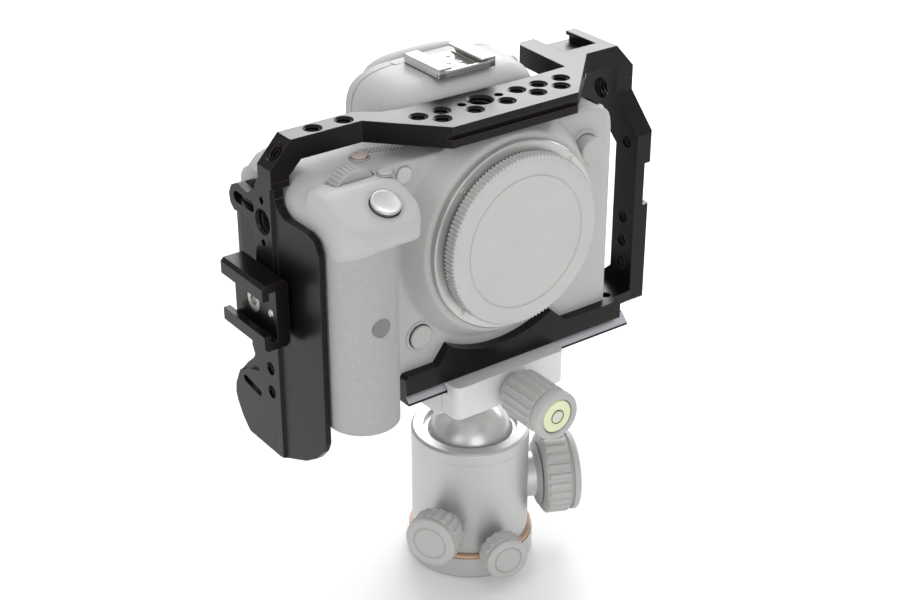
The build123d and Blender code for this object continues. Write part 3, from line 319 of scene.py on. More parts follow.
PALE = (0.46, 0.46, 0.45)
PALE_HIGH = (0.51, 0.51, 0.50)
finishes = {
    "cage_black": machined_black("cage black anodised"),
    "wing_black": machined_black("wing black with tool lines", (30.0, 3200.0, 12.0)),
    "head_grey": soft_anodised("ball head grey", (0.52, 0.52, 0.515), (0.58, 0.58, 0.575), 0.34, 0.7),
    "knob_grey": moulded("knob grey", (0.42, 0.42, 0.41), (0.48, 0.48, 0.47), 0.46),
    "ball_grey": soft_anodised("ball grey", (0.60, 0.60, 0.59), (0.68, 0.68, 0.67), 0.22, 0.6, 0.00001),
    "ring_orange": moulded("orange ring", (0.62, 0.40, 0.27), (0.70, 0.46, 0.32), 0.4),
    "camera_grey": fine_paint("camera grey paint", PALE, PALE_HIGH),
    "skin_grey": pebbled_rubber("grip rubber", (0.36, 0.36, 0.36), (0.43, 0.43, 0.43), 950.0, 0.00014),
    "mount_steel": turned_metal("mount steel", (0.50, 0.50, 0.49), (0.60, 0.60, 0.59),
                                (0, 0, 0.1475), (math.pi / 2, 0, 0), 0.22, 0.9),
    "cap_grey": moulded("body cap plastic", (0.50, 0.50, 0.49), (0.55, 0.55, 0.54), 0.42, 0.00004),
    "steel": bare_steel("bare steel", (0.62, 0.60, 0.57)),
    "screw_black": bare_steel("black oxide screw", (0.05, 0.05, 0.052), 0.34),
    "door_black": pebbled_rubber("door black", (0.012, 0.012, 0.012), (0.022, 0.021, 0.021),
                                 900.0, 0.00008, 0.5),
    "button_silver": soft_anodised("button silver", (0.55, 0.55, 0.54), (0.64, 0.64, 0.63),
                                   0.22, 0.9, 0.00001),
    "record_red": moulded("record button", (0.62, 0.46, 0.44), (0.68, 0.52, 0.50), 0.4),
    "lens_dark": clear_glass("smoked window", (0.16, 0.16, 0.165)),
    "level_green": clear_glass("level vial", (0.86, 0.90, 0.56), 0.12),
    "screen_glass": clear_glass("display glass", (0.035, 0.037, 0.042)),
    "rubber_dark": moulded("eyecup rubber", (0.46, 0.46, 0.455), (0.52, 0.52, 0.515), 0.6),
    "board_green": moulded("circuit board", (0.02, 0.12, 0.05), (0.04, 0.18, 0.08), 0.4),
    "battery_dark": moulded("battery wrap", (0.05, 0.05, 0.055), (0.08, 0.08, 0.085), 0.5),
    # the dovetail's upward flanks carry a painted highlight as well as the tone of bare metal
    "dovetail": dovetail_black("dovetail black with bare flanks and painted highlight", (0.50, 0.49, 0.53)),
    # a lighter, less metallic copy of the head's grey for the clamp: painted light that lifts the shade under the
    # base plate
    "clamp_grey_painted_light": soft_anodised("clamp grey with painted light", (0.68, 0.68, 0.67), (0.74, 0.74, 0.73), 0.42, 0.1),
    # dark discs for the sound holes: the shade inside the holes is painted on
    "hole_painted_shade": moulded("sound holes", (0.10, 0.10, 0.10), (0.14, 0.14, 0.14), 0.7),
    "lamp_pale": clear_glass("lamp diffuser", (0.66, 0.66, 0.64), 0.25),
}


# ---- mesh helpers -------------------------------------------------------------------------------

def turned(profile, steps=96, closed=False):
    """Solid turned about Z from points of radius and height."""
    bm = bmesh.new()
    ring = [bm.verts.new((r * MM, 0, z * MM)) for r, z in profile]
    pairs = list(zip(ring, ring[1:])) + ([(ring[-1], ring[0])] if closed else [])
    edges = [bm.edges.new(pair) for pair in pairs]
    bmesh.ops.spin(bm, geom=ring + edges, cent=(0, 0, 0), axis=(0, 0, 1), dvec=(0, 0, 0),
                   angle=math.tau, steps=steps, use_merge=True)
    return tidy(bm)


def tidy(bm):
    bmesh.ops.remove_doubles(bm, verts=bm.verts, dist=1e-6)
    bmesh.ops.recalc_face_normals(bm, faces=bm.faces)
    return bm


def fluted(radius, depth, ribs, z0, z1, chamfer, land=0.5):
    """Ribbed drum about Z with chamfered ends."""
    bm = bmesh.new()
    made = bmesh.ops.create_circle(bm, cap_ends=True, segments=ribs * 6, radius=radius * MM)
    for i, v in enumerate(made["verts"]):
        if i % 6 < 6 * (1 - land):
            v.co *= (radius - depth) / radius
        v.co.z = (z0 + chamfer) * MM
    low = bm.faces[:][0]
    raised = bmesh.ops.extrude_face_region(bm, geom=[low])
    top = [g for g in raised["geom"] if isinstance(g, bmesh.types.BMFace)][0]
    bmesh.ops.translate(bm, verts=top.verts, vec=(0, 0, (z1 - z0 - 2 * chamfer) * MM))
    bmesh.ops.recalc_face_normals(bm, faces=bm.faces)
    ends = [f for f in bm.faces if len(f.verts) > 8]
    bmesh.ops.inset_region(bm, faces=ends, thickness=chamfer * MM, depth=chamfer * MM)
    return bm


def block(x0, x1, y0, y1, z0, z1, round_by=0.3, segments=3):
    """Box between two corners, in millimetres, with rounded edges."""
    bm = bmesh.new()
    bmesh.ops.create_cube(bm, size=1.0)
    bmesh.ops.scale(bm, vec=((x1 - x0) * MM, (y1 - y0) * MM, (z1 - z0) * MM), verts=bm.verts)
    middle = ((x0 + x1) / 2 * MM, (y0 + y1) / 2 * MM, (z0 + z1) / 2 * MM)
    bmesh.ops.translate(bm, vec=middle, verts=bm.verts)
    bmesh.ops.bevel(bm, geom=bm.edges[:], offset=round_by * MM, affect="EDGES", segments=segments,
                    profile=0.5, material=-1)
    return bm


def aim(bm, origin, direction, turn=0.0):
    """Move a shape made about Z so that Z looks along a direction from an origin in millimetres."""
    way = Vector(direction).normalized()
    spin = Matrix.Rotation(turn, 4, "Z")
    aimed = way.to_track_quat("Z", "Y").to_matrix().to_4x4()
    matrix = Matrix.Translation(Vector(origin) * MM) @ aimed @ spin
    bmesh.ops.transform(bm, matrix=matrix, verts=bm.verts)
    return bm


def piece(name, shapes, body, finish, replaces=(), sharp=35.0):
    """Join shapes into one named object that rides on a body."""
    whole = bmesh.new()
    for shape in shapes:
        part = bpy.data.meshes.new("part")
        shape.to_mesh(part)
        shape.free()
        whole.from_mesh(part)
        bpy.data.meshes.remove(part)
    mesh = bpy.data.meshes.new(name)
    whole.to_mesh(mesh)
    whole.free()
    mesh.shade_smooth()
    mesh.set_sharp_from_angle(angle=math.radians(sharp))
    made = bpy.data.objects.new(name, mesh)
    bpy.context.scene.collection.objects.link(made)
    made.data.materials.append(finishes[finish])
    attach(made, body)
    if replaces:
        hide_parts(*replaces)
    return made


# ---- carried-over machined pieces ----------------------------------------------------------------

node_slots = {s["node"]: s["material_slot"] for s in record["subparts"]}
# the clamp's parts take the lighter copy of the head grey, whose extra lightness is painted light
special = {
    "dovetail_plate": "dovetail", "grip_wing": "wing_black", "lamp_window": "lamp_pale",
    "preview_button": "camera_grey", "function_button": "camera_grey",
    "clamp_body": "clamp_grey_painted_light", "clamp_jaw": "clamp_grey_painted_light",
}
for name, obj in nodes.items():
    obj.data.materials.clear()
    obj.data.materials.append(finishes[special.get(name, node_slots[name])])

# ---- moulded camera shells ------------------------------------------------------------------------

SKIN_VOXEL = 0.8                  # size of a cast skin's voxels, in millimetres
SKIN_PASSES = 3                   # smoothing passes over its edges
CORNER = (48.5, -6.0)             # x and y of the axis that the front port-side edge is rounded about
BUTTON_RADIUS = {"shutter": 5.3, "record": 2.8, "function": 2.6}
BORE_GAP = 0.4                    # clearance of a button in its bore
BORE_REACH = 4.0                  # length of the bore on each side of the button's middle
GRIP_ZONES = [((-82, -43, 157.5), (-46, -12, 184), 8), ((-82, -43, 158), (-67, -8, 184), 30)]


def frame_body(node):
    """Name of the body that carries a node."""
    return next(b for b, members in record["behaviour"]["bodies"].items() if node in members)


def softened_shell(node):
    """Voxel copy of a CAD shell, its edges smoothed evenly."""
    bm = bmesh.new()
    bm.from_mesh(nodes[node].data)
    bmesh.ops.remove_doubles(bm, verts=bm.verts, dist=1e-6)
    mesh = bpy.data.meshes.new(node + "_skin")
    bm.to_mesh(mesh)
    bm.free()
    made = bpy.data.objects.new(node + "_skin", mesh)
    bpy.context.scene.collection.objects.link(made)
    remesh = made.modifiers.new("even skin", "REMESH")
    remesh.mode = "VOXEL"
    remesh.voxel_size = SKIN_VOXEL * MM
    smooth = made.modifiers.new("soft edges", "SMOOTH")
    smooth.iterations = SKIN_PASSES
    smooth.factor = 0.5
    evened = made.evaluated_get(bpy.context.evaluated_depsgraph_get())
    skin = bpy.data.meshes.new_from_object(evened)
    bpy.data.objects.remove(made)
    bpy.data.meshes.remove(mesh)
    bm = bmesh.new()
    bm.from_mesh(skin)
    bpy.data.meshes.remove(skin)
    return bm


def round_corner(bm):
    """Round the front port-side edge, which is square in the CAD."""
    middle = Vector((CORNER[0] * MM, CORNER[1] * MM))
    for v in bm.verts:
        off = Vector((v.co.x - middle.x, middle.y - v.co.y))
        if off.x > 0 and off.y > 0:
            off *= max(off.x, off.y) / off.length
            v.co.x = middle.x + off.x
            v.co.y = middle.y - off.y


def smooth_zones(bm, zones):
    """Smooth inside boxes, each given by two corners in millimetres and a number of passes."""
    for lowest, highest, passes in zones:
        box = [(a * MM, b * MM) for a, b in zip(lowest, highest)]
        inside = [v for v in bm.verts if all(a <= c <= b for c, (a, b) in zip(v.co, box))]
        for _ in range(passes):
            bmesh.ops.smooth_vert(bm, verts=inside, factor=0.5,
                                  use_axis_x=True, use_axis_y=True, use_axis_z=True)


def open_bores(bm):
    """Push the walls of the button bores back out, where smoothing has closed them."""
    for button, size in BUTTON_RADIUS.items():
        a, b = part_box(button + "_button")
        up = -Vector(joints[button + "_press"]["axis"]).normalized()
        radius = size * MM
        wall = radius + BORE_GAP * MM
        for v in bm.verts:
            rel = v.co - (a + b) / 2
            along = rel.dot(up)
            side = rel - up * along
            if abs(along) < BORE_REACH * MM and radius * 0.55 < side.length < wall:
                v.co += side.normalized() * (wall - side.length)


def cast_shell(node, bm):
    """Painted piece that stands for a CAD shell."""
    piece(node + "_cast", [bm], frame_body(node), "camera_grey", (node,), sharp=60.0)


front_skin = softened_shell("front_shell")
round_corner(front_skin)
smooth_zones(front_skin, GRIP_ZONES)
open_bores(front_skin)
cast_shell("front_shell", front_skin)
cast_shell("rear_shell", softened_shell("rear_shell"))

# ---- viewfinder housing and eyecup ---------------------------------------------------------------

HUMP_FRONT, HUMP_BACK = (c.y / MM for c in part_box("viewfinder"))
HUMP_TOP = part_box("hot_shoe")[0].z / MM
HUMP_FOOT = 181.0                 # just under the top deck
DOME_STEPS = 48
BROW_STEPS = 12
BROW_DEPTH = 11.0                 # how far back the rounded brow reaches
BROW_SPREAD = 8.0                 # how much it widens and rises on the way
SEAM = 0.35                       # depth of the groove near the back
CUP_STEPS = 72
CUP_MIDDLE = 187.4                # height of the eyecup's middle


def outline(bm, points):
    """Closed loop of edges through points in millimetres."""
    ring = [bm.verts.new([c * MM for c in point]) for point in points]
    return [bm.edges.new(pair) for pair in zip(ring, ring[1:] + ring[:1])]


def bridged(bm, loops):
    """Skin between closed outlines, each to the next."""
    for one, two in zip(loops, loops[1:]):
        bmesh.ops.bridge_loops(bm, edges=one + two)


def power(value, exponent):
    """Power that keeps the sign."""
    return math.copysign(abs(value) ** exponent, value)


def dome_section(bm, y, width, top, rim=0.0):
    """Closed outline of the viewfinder housing at one depth: half width, top and an inset."""
    points = []
    for i in range(DOME_STEPS + 1):
        a = math.pi * i / DOME_STEPS
        rise = (top - rim - HUMP_FOOT) * math.sin(a) ** 0.5
        points.append(((width - rim) * power(math.cos(a), 0.5), y, HUMP_FOOT + rise))
    return outline(bm, points)


def cup_section(bm, y, inset):
    """Closed rounded outline of the eyecup at one depth."""
    points = []
    for i in range(CUP_STEPS):
        a = math.tau * i / CUP_STEPS
        rise = (13.2 - inset) * power(math.sin(a), 0.62)
        points.append(((25.0 - inset) * power(math.cos(a), 0.62), y, CUP_MIDDLE + rise))
    return outline(bm, points)


sections = [(HUMP_FRONT, 16.0, HUMP_TOP - 12.0)]
for i in range(BROW_STEPS + 1):
    turn = math.pi / 2 * i / BROW_STEPS
    k = math.sin(turn)
    sections.append((HUMP_FRONT + BROW_DEPTH * (1 - math.cos(turn)), 24.0 + BROW_SPREAD * k,
                     HUMP_TOP - BROW_SPREAD * (1 - k)))
sections += [
    (15.0, 33.0, HUMP_TOP),
    (20.0, 33.7, HUMP_TOP),
    (HUMP_BACK - 6, 34.0, HUMP_TOP),
    (HUMP_BACK - 4.2, 34.0, HUMP_TOP),
    (HUMP_BACK - 4.1, 34.0, HUMP_TOP, SEAM),
    (HUMP_BACK - 3.7, 34.0, HUMP_TOP, SEAM),
    (HUMP_BACK - 3.6, 34.0, HUMP_TOP),
    (HUMP_BACK - 1.2, 34.0, HUMP_TOP + 0.1),
    (HUMP_BACK - 0.6, 34.3, HUMP_TOP + 0.1),
    (HUMP_BACK - 0.1, 33.9, HUMP_TOP),
    (HUMP_BACK - 0.05, 33.9, HUMP_TOP, 9.0),
]
dome = bmesh.new()
loops = [dome_section(dome, *section) for section in sections]
bridged(dome, loops)
bmesh.ops.contextual_create(dome, geom=loops[0])
tidy(dome)
lower = softened_shell("viewfinder")
spare = []
for v in lower.verts:
    hidden = v.co.y < (HUMP_BACK - 5.0) * MM or abs(v.co.x) > 16 * MM
    if v.co.z > (HUMP_FOOT + 0.6) * MM and hidden:
        spare.append(v)
bmesh.ops.delete(lower, geom=spare, context="VERTS")
piece("viewfinder_dome", [dome, lower], "rig", "camera_grey", ("viewfinder",), 40.0)

# depth behind the housing and inset of each outline of the eyecup, from its inner to its outer foot
cup = [(-0.1, 9.0), (-0.1, 1.2), (1.0, 0.2), (3.6, 0.0), (5.2, 0.5), (6.2, 1.9), (6.45, 4.0), (5.8, 5.8),
       (2.0, 6.8), (-0.1, 9.0)]
rubber = bmesh.new()
bridged(rubber, [cup_section(rubber, HUMP_BACK + behind, inset) for behind, inset in cup])
piece("eyecup_soft", [tidy(rubber)], "rig", "rubber_dark", replaces=("eyecup",), sharp=50.0)

# the accessory shoe on the hump: plate, rails, spring and contacts
low, high = (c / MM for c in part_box("hot_shoe"))
shoe = [
    block(low.x, high.x, low.y, high.y, low.z, low.z + 0.8, 0.15),
    block(low.x, low.x + 3.0, low.y, high.y, low.z, low.z + 3.2, 0.3),
    block(high.x - 3.0, high.x, low.y, high.y, low.z, low.z + 3.2, 0.3),
    block(low.x, low.x + 6.0, low.y, high.y, high.z - 0.95, high.z, 0.35),
    block(high.x - 6.0, high.x, low.y, high.y, high.z - 0.95, high.z, 0.35),
    block(low.x, high.x, low.y, low.y + 1.1, low.z, low.z + 2.6, 0.4),
]
piece("hot_shoe_rails", shoe, "rig", "button_silver", ("hot_shoe",))
spring = [
    block(low.x + 3.2, low.x + 5.4, low.y + 2.0, high.y - 1.0, low.z + 0.9, low.z + 1.3, 0.1),
    block(high.x - 5.4, high.x - 3.2, low.y + 2.0, high.y - 1.0, low.z + 0.9, low.z + 1.3, 0.1),
    block(low.x + 3.2, high.x - 3.2, low.y + 1.6, low.y + 4.2, low.z + 0.9, low.z + 1.3, 0.1),
]
for x, y, r in ((0.0, 11.0, 1.6), (-3.4, 16.5, 0.9), (3.4, 16.5, 0.9), (-3.4, 8.6, 0.9), (3.4, 8.6, 0.9)):
    spring.append(aim(turned([(0, 0.5), (r, 0.5), (r, 1.0), (r * 0.8, 1.15), (0, 1.15)], 32),
                      (x, low.y + y, low.z), UP))
piece("hot_shoe_contacts", spring, "rig", "steel")

# sound holes in the top deck, in four slanted rows, drawn as dark discs on the deck: painted shade where the holes
# are
HOLE_ROWS, HOLES_IN_ROW = 4, 12
DECK = 182.0
holes = []
for row in range(HOLE_ROWS):
    for i in range(HOLES_IN_ROW):
        holes.append(aim(turned([(0, -0.3), (0.36, -0.3), (0.36, 0.03), (0, 0.03)], 12),
                         (-46.0 + i * 1.25 + row * 0.3, 2.6 - row * 1.3 - i * 0.35, DECK), UP))
piece("sound_holes", holes, "rig", "hole_painted_shade")


def bezel(node, profile, steps, face, way):
    """Raised ring about a round button: steps out from the button's edge and heights above a face."""
    low, high = (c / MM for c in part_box(node))
    r = (high.x - low.x) / 2
    x, y, z = ((a + b) / 2 for a, b in zip(low, high))
    origin = (x, y, face) if way == UP else (x, face, z)
    return aim(turned([(r + step, rise) for step, rise in profile], steps, True), origin, way)


def low_rim(width):
    """Profile of a low rim of some width."""
    return [(0.12, -0.3), (width, -0.3), (width, 0.12), (width - 0.2, 0.28), (0.3, 0.28), (0.12, 0.12)]


preview_rim = [(0.12, -0.4), (1.5, -0.4), (1.5, 0.1), (1.1, 0.5), (0.5, 0.5), (0.12, 0.1)]
release_rim = [(0.15, -0.4), (1.9, -0.4), (1.9, 0.2), (1.4, 0.9), (0.6, 0.9), (0.15, 0.3)]
rings = [
    bezel("record_button", low_rim(0.7), 64, DECK, UP),
    bezel("function_button", low_rim(0.5), 64, DECK + 0.4, UP),
    bezel("preview_button", preview_rim, 72, CAMERA_FRONT, FORWARD),
    bezel("release_button", release_rim, 72, CAMERA_FRONT, FORWARD),
]
piece("button_rings", rings, "rig", "camera_grey")


def pushed(name, joint, radius, height, finish, dish):
    """Round button with a dished top, about the middle of its CAD box."""
    up = -Vector(joints[joint]["axis"])
    a, b = (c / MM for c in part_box(name))
    top = height / 2
    foot = min(0.9 - top, top - 1.0)
    shape = turned([(0, foot), (radius - 0.35, foot), (radius - 0.35, top - 0.9), (radius, top - 0.75),
                    (radius, top - 0.45), (radius - 0.15, top - 0.15), (radius - 0.5, top),
                    (radius - 0.9, top - 0.1), (radius * 0.55, top - dish * 0.75), (0, top - dish)], 72)
    piece(name + "_dished", [aim(shape, (a + b) / 2, up)], name, finish, (name,), 50.0)


pushed("shutter_button", "shutter_press", BUTTON_RADIUS["shutter"], 3.6, "button_silver", 0.5)
pushed("record_button", "record_press", BUTTON_RADIUS["record"], 2.4, "record_red", 0.25)
pushed("function_button", "function_press", BUTTON_RADIUS["function"], 2.2, "camera_grey", 0.25)
pushed("preview_button", "preview_press", 4.5, 2.6, "camera_grey", 0.4)
a, b = (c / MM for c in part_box("shutter_button"))
collar = turned([(5.45, -1.6), (6.6, -1.6), (6.6, -0.2), (6.3, 0.15), (5.7, 0.15), (5.45, -0.1)], 72, True)
piece("shutter_collar", [aim(collar, (a + b) / 2, -Vector(joints["shutter_press"]["axis"]))], "rig",
      "knob_grey")

# buttons on the back, beside the display: x, z and radius
back_places = ((-46.5, 133.0, 2.3), (-46.5, 124.5, 2.3), (-46.5, 116.8, 1.8), (-46.5, 160.0, 2.0),
               (-30.0, 166.0, 2.2))
pads = []
for x, z, r in back_places:
    pads.append(aim(turned([(0, -0.5), (r, -0.5), (r, 0.5), (r - 0.3, 0.8), (r * 0.6, 0.72), (0, 0.65)], 40),
                    (x, CAMERA_BACK, z), (0, 1, 0)))
piece("back_buttons", pads, "rig", "camera_grey")

# four screws in the mount ring
SCREW_CIRCLE = 33.2
a, b = (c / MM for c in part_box("mount_ring"))
mid = (a + b) / 2
face = -a.y
studs = []
for i in range(4):
    turn = math.radians(45 + 90 * i)
    at = (mid.x + SCREW_CIRCLE * math.cos(turn), 0, mid.z + SCREW_CIRCLE * math.sin(turn))
    studs.append(aim(turned([(0, face - 0.4), (1.25, face - 0.4), (1.25, face), (1.0, face + 0.25),
                             (0.45, face + 0.25), (0.3, face - 0.1), (0, face - 0.1)], 28), at, FORWARD))
piece("mount_screws", studs, "rig", "steel")

# ---- countersunk thread in the corner of the top bar ---------------------------------------------

def cut_copy(node, cutter):
    """Mesh of a CAD node with a shape cut out of it."""
    welded = bmesh.new()
    welded.from_mesh(nodes[node].data)
    bmesh.ops.remove_doubles(welded, verts=welded.verts, dist=1e-6)
    blank = bpy.data.objects.new(node + "_blank", bpy.data.meshes.new(node + "_blank"))
    welded.to_mesh(blank.data)
    welded.free()
    tool_mesh = bpy.data.meshes.new("tool")
    cutter.to_mesh(tool_mesh)
    cutter.free()
    tool = bpy.data.objects.new("tool", tool_mesh)
    for o in (blank, tool):
        bpy.context.scene.collection.objects.link(o)
    cut = blank.modifiers.new("cut", "BOOLEAN")
    cut.operation = "DIFFERENCE"
    cut.object = tool
    done = blank.evaluated_get(bpy.context.evaluated_depsgraph_get())
    mesh = bpy.data.meshes.new_from_object(done)
    for layer in [a for a in mesh.attributes if a.name == "custom_normal"]:
        mesh.attributes.remove(layer)
    bm = bmesh.new()
    bm.from_mesh(mesh)
    for o in (blank, tool):
        data = o.data
        bpy.data.objects.remove(o)
        bpy.data.meshes.remove(data)
    bpy.data.meshes.remove(mesh)
    return bm


corner = mounts["corner_thread"]
out = Vector(corner["axis"])
SINK_START = 3.0     # out from the middle of the bore, close under the face
mouth = Vector(corner["pos_m"]) / MM + out * SINK_START
sink = turned([(0, 2.0), (4.0, 2.0), (3.75, 0.0), (2.75, -1.1), (0, -1.1)], 64)
piece("top_bar_sunk", [cut_copy("top_bar", aim(sink, mouth, out))], "rig", "cage_black",
      ("top_bar",), 30.0)

# ---- threads -------------------------------------------------------------------------------------

QUARTER_PITCH = 1.27               # 20 threads to the inch
THREE_EIGHTHS_PITCH = 1.59         # 16 threads to the inch
TURN_STEPS = 24


def thread(radius, length, pitch):
    """Helical ridge standing in from the wall of a tapped bore."""
    bm = bmesh.new()
    turns = (length - pitch) / pitch
    steps = int(turns * TURN_STEPS)
    root = radius + 0.03
    crest = radius - 0.36
    corners = ((root, 0.0), (crest, pitch * 0.42), (crest, pitch * 0.54), (root, pitch * 0.94))
    face = bm.faces.new([bm.verts.new((r * MM, 0, z * MM)) for r, z in corners])
    bmesh.ops.spin(bm, geom=[face] + face.edges[:] + face.verts[:], cent=(0, 0, 0), axis=(0, 0, 1),
                   dvec=(0, 0, turns * pitch * MM / steps), angle=math.tau * turns, steps=steps,
                   use_merge=False)
    return tidy(bm)


threads = {"rig": [], "head": []}
for m in record["mounts"]:
    if m["kind"] == "threaded_hole":
        r = m["dims"]["r_mm"]
        length = m["dims"]["length_mm"]
        body = "head" if m["name"] == "tripod_socket" else "rig"
        back = length if body == "head" else length / 2
        start = [p / MM - a * back for p, a in zip(m["pos_m"], m["axis"])]
        pitch = QUARTER_PITCH if r < 3 else THREE_EIGHTHS_PITCH
        threads[body].append(aim(thread(r, length, pitch), start, m["axis"]))
piece("cage_threads", threads["rig"], "rig", "cage_black")
piece("socket_thread", threads["head"], "head", "steel")

# ---- ball head knobs -----------------------------------------------------------------------------

JOINT_REACH = 30.0                 # from a lock joint's point back to the head's own axis
STEM_START = 20.6                  # the stem's start in the housing, from that axis
STEM_STEP = 23.9                   # where the stem widens outside the housing


def lock_knob(name, joint, radius, start, length, ribs, flare=0.3):
    """Knob with a chamfered back, a ribbed rubber band, a polished ring and a dished end."""
    axis = joints[joint]["axis"]
    at = joints[joint]["pos_m"]
    origin = [p / MM - a * JOINT_REACH for p, a in zip(at, axis)]
    r = radius
    end = start + length
    core = turned([
        (0, start), (r * 0.42, start), (r * 0.46, start + 0.4), (r * 0.82, start + 0.5),
        (r * 0.93, start + 1.4), (r * 0.93, start + length * 0.74), (r * 0.90, start + length * 0.77),
        (r * 0.90, start + length * 0.80), (r * 0.965, start + length * 0.82),
        (r * 0.97, start + length * 0.84), (r * 0.97, start + length * 0.93),
        (r * 0.94, start + length * 0.97), (r * 0.88, end), (r * 0.66, end), (r * 0.63, end - 0.5),
        (r * 0.60, end - 0.5), (r * 0.57, end - 0.1), (0, end - 0.1),
    ])
    band = fluted(r, r * 0.055, ribs, start + length * 0.12, start + length * 0.72, 0.5, 0.62)
    stem = turned([(0, STEM_START), (r * 0.2, STEM_START), (r * 0.2, STEM_STEP), (r * flare, STEM_STEP),
                   (r * flare, start - 2.2), (r * (flare + 0.10), start - 1.0),
                   (r * (flare + 0.26), start - 0.2), (r * 0.5, start + 0.6), (0, start + 0.6)], 64)
    piece(name + "_turned", [aim(s, origin, axis) for s in (core, band, stem)], name, "knob_grey",
          replaces=(name,))


lock_knob("main_knob", "main_lock_turn", 16.3, 27.0, 15.0, 26, 0.52)
lock_knob("friction_knob", "friction_lock_turn", 10.6, 26.0, 10.8, 20)
lock_knob("pan_knob", "pan_lock_turn", 8.8, 26.2, 9.4, 16)

low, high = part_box("clamp_knob")
knob_z = (low.z + high.z) / 2 / MM
knob_back = -high.y / MM
knob_front = -low.y / MM
r = (high.x - low.x) / 2 / MM
clamp_shapes = [
    turned([(0, knob_back), (5.4, knob_back), (5.6, knob_back + 0.3), (5.6, knob_back + 2.9),
            (7.6, knob_back + 3.3), (r * 0.93, knob_back + 4.4), (r * 0.93, knob_front - 5.4),
            (r * 0.88, knob_front - 5.1), (r * 0.88, knob_front - 4.6), (r * 0.985, knob_front - 4.2),
            (r, knob_front - 3.6), (r, knob_front - 0.9), (r * 0.96, knob_front - 0.3), (r * 0.90, knob_front),
            (7.2, knob_front), (6.7, knob_front - 0.5), (6.6, knob_front - 2.3), (0, knob_front - 2.3)]),
    fluted(r, 0.75, 18, knob_back + 4.6, knob_front - 5.6, 0.5, 0.62),
]
piece("clamp_knob_turned", [aim(s, (0, 0, knob_z), FORWARD) for s in clamp_shapes], "clamp_knob", "knob_grey",
      replaces=("clamp_knob",))
vial = turned([(0, knob_front - 2.25), (6.45, knob_front - 2.25), (6.45, knob_front - 0.9),
               (6.1, knob_front - 0.5), (0, knob_front - 0.25)], 64)
piece("level_vial", [aim(vial, (0, 0, knob_z), FORWARD)], "clamp_knob", "level_green",
      replaces=("bubble_level",))
mark = turned([(2.5, knob_front - 0.5), (2.78, knob_front - 0.5), (2.78, knob_front - 0.2),
               (2.5, knob_front - 0.2)], 64, True)
piece("level_mark", [aim(mark, (0, 0, knob_z), FORWARD)], "clamp_knob", "screw_black")
bubble = turned([(0, knob_front - 0.5), (1.9, knob_front - 0.45), (1.7, knob_front - 0.2),
                 (0, knob_front - 0.1)], 40)
piece("level_bubble", [aim(bubble, (0.3, 0, knob_z + 0.4), FORWARD)], "clamp_knob", "button_silver")

# ---- body cap and dials --------------------------------------------------------------------------

cap_low, cap_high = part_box("body_cap")
lens = ((cap_low.x + cap_high.x) / 2 / MM, 0, (cap_low.z + cap_high.z) / 2 / MM)
front = -cap_low.y / MM
cap_r = (cap_high.x - cap_low.x) / 2 / MM
cap_shapes = [
    turned([(0, 20.2), (26.3, 20.2), (26.3, 26.9), (cap_r - 0.9, 26.9), (cap_r - 0.9, front - 0.9),
            (cap_r - 1.5, front - 0.25), (cap_r - 2.2, front), (25.3, front - 0.05), (25.1, front - 1.1),
            (24.7, front - 1.1), (24.5, front - 0.1), (0, front - 0.1)], 160),
    fluted(cap_r, 0.55, 128, 26.95, front - 0.35, 0.4, 0.5),
]
piece("body_cap_ribbed", [aim(s, lens, FORWARD) for s in cap_shapes], "body_cap", "cap_grey",
      replaces=("body_cap",))


def dial(name, joint, radius, width, ribs, hub=1.0):
    """Knurled wheel about a joint's axis, centred on its point."""
    j = joints[joint]
    at = [p / MM for p in j["pos_m"]]
    shapes = [
        turned([(0, -width / 2), (radius * 0.9, -width / 2), (radius * 0.93, -width / 2 + 0.4),
                (radius * 0.93, width / 2 - 0.4), (radius * 0.9, width / 2), (0, width / 2)], 64),
        fluted(radius, radius * 0.07, ribs, -width / 2 + 0.3, width / 2 - 0.3, 0.3, 0.5),
        turned([(0, -width / 2 - hub), (1.0, -width / 2 - hub), (1.0, width / 2), (0, width / 2)], 32),
    ]
    piece(name + "_knurled", [aim(s, at, j["axis"]) for s in shapes], name, "knob_grey", replaces=(name,))


dial("front_dial", "front_dial_turn", 9.0, 6.0, 34)
dial("rear_dial", "rear_dial_turn", 8.3, 2.3, 36, hub=1.2)

# ---- view ----------------------------------------------------------------------------------------

view_from = Vector((-0.3444, -0.4582, 0.4165))
back = Vector((-0.520, -0.712, 0.471)).normalized()
camera_data = bpy.data.cameras.new("view")
camera_data.lens = 69.4
camera_data.sensor_width = 36.0
camera_data.clip_end = 50.0
camera = bpy.data.objects.new("view", camera_data)
bpy.context.scene.collection.objects.link(camera)
camera.matrix_world = Matrix.Translation(view_from) @ back.to_track_quat("Z", "Y").to_matrix().to_4x4()
bpy.context.scene.camera = camera

# ---- floor and light -----------------------------------------------------------------------------

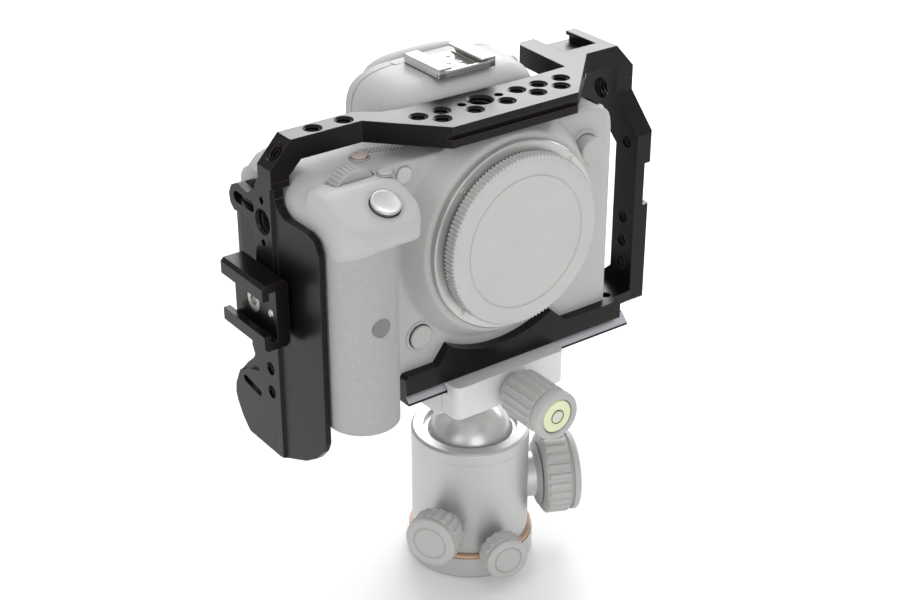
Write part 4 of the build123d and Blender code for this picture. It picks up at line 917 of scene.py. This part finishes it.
ground = bmesh.new()
bmesh.ops.create_grid(ground, x_segments=1, y_segments=1, size=6.0)
bmesh.ops.translate(ground, vec=(0, 0, -0.0002), verts=ground.verts)
ground_mesh = bpy.data.meshes.new("floor")
ground.to_mesh(ground_mesh)
ground.free()
floor = bpy.data.objects.new("floor", ground_mesh)
bpy.context.scene.collection.objects.link(floor)
pale = Finish("pale floor", Roughness=0.9, Specular_IOR_Level=0.1)
pale.set("Base Color", pale.blend(pale.noise(3.0), (0.90, 0.90, 0.90), (0.92, 0.92, 0.92)))
floor.data.materials.append(pale.material)

world = bpy.data.worlds.new("studio")
bpy.context.scene.world = world
world.use_nodes = True
sky = world.node_tree
coords = sky.nodes.new("ShaderNodeTexCoord")
split = sky.nodes.new("ShaderNodeSeparateXYZ")
ramp = sky.nodes.new("ShaderNodeValToRGB")
ramp.color_ramp.elements[0].position = 0.0
ramp.color_ramp.elements[0].color = (0.30, 0.30, 0.30, 1)
ramp.color_ramp.elements[1].position = 0.75
ramp.color_ramp.elements[1].color = (1.0, 1.0, 1.0, 1)
sky.links.new(coords.outputs["Generated"], split.inputs[0])
sky.links.new(split.outputs["Z"], ramp.inputs[0])
sky.links.new(ramp.outputs[0], sky.nodes["Background"].inputs["Color"])
sky.nodes["Background"].inputs["Strength"].default_value = 0.85


def softbox(name, at, target, size, power):
    """Square area light that looks at a target."""
    data = bpy.data.lights.new(name, "AREA")
    data.size = size
    data.energy = power
    lamp = bpy.data.objects.new(name, data)
    bpy.context.scene.collection.objects.link(lamp)
    way = Vector(at) - Vector(target)
    lamp.matrix_world = Matrix.Translation(at) @ way.to_track_quat("Z", "Y").to_matrix().to_4x4()


softbox("overhead", (0.0, 0.3, 1.3), (0, 0, 0.15), 0.9, 1.5)
softbox("front", (-0.5, -1.5, 0.35), (0, 0, 0.12), 0.9, 5.5)
softbox("left", (-1.2, -0.3, 0.7), (0, 0, 0.12), 0.6, 3.0)
softbox("right_rim", (1.0, 0.2, 0.5), (0, 0, 0.12), 0.4, 3.0)
softbox("rear_window", (0.82, 0.92, 0.80), (0, 0, 0.18), 0.85, 15.0)
bpy.context.scene.view_settings.view_transform = "Standard"
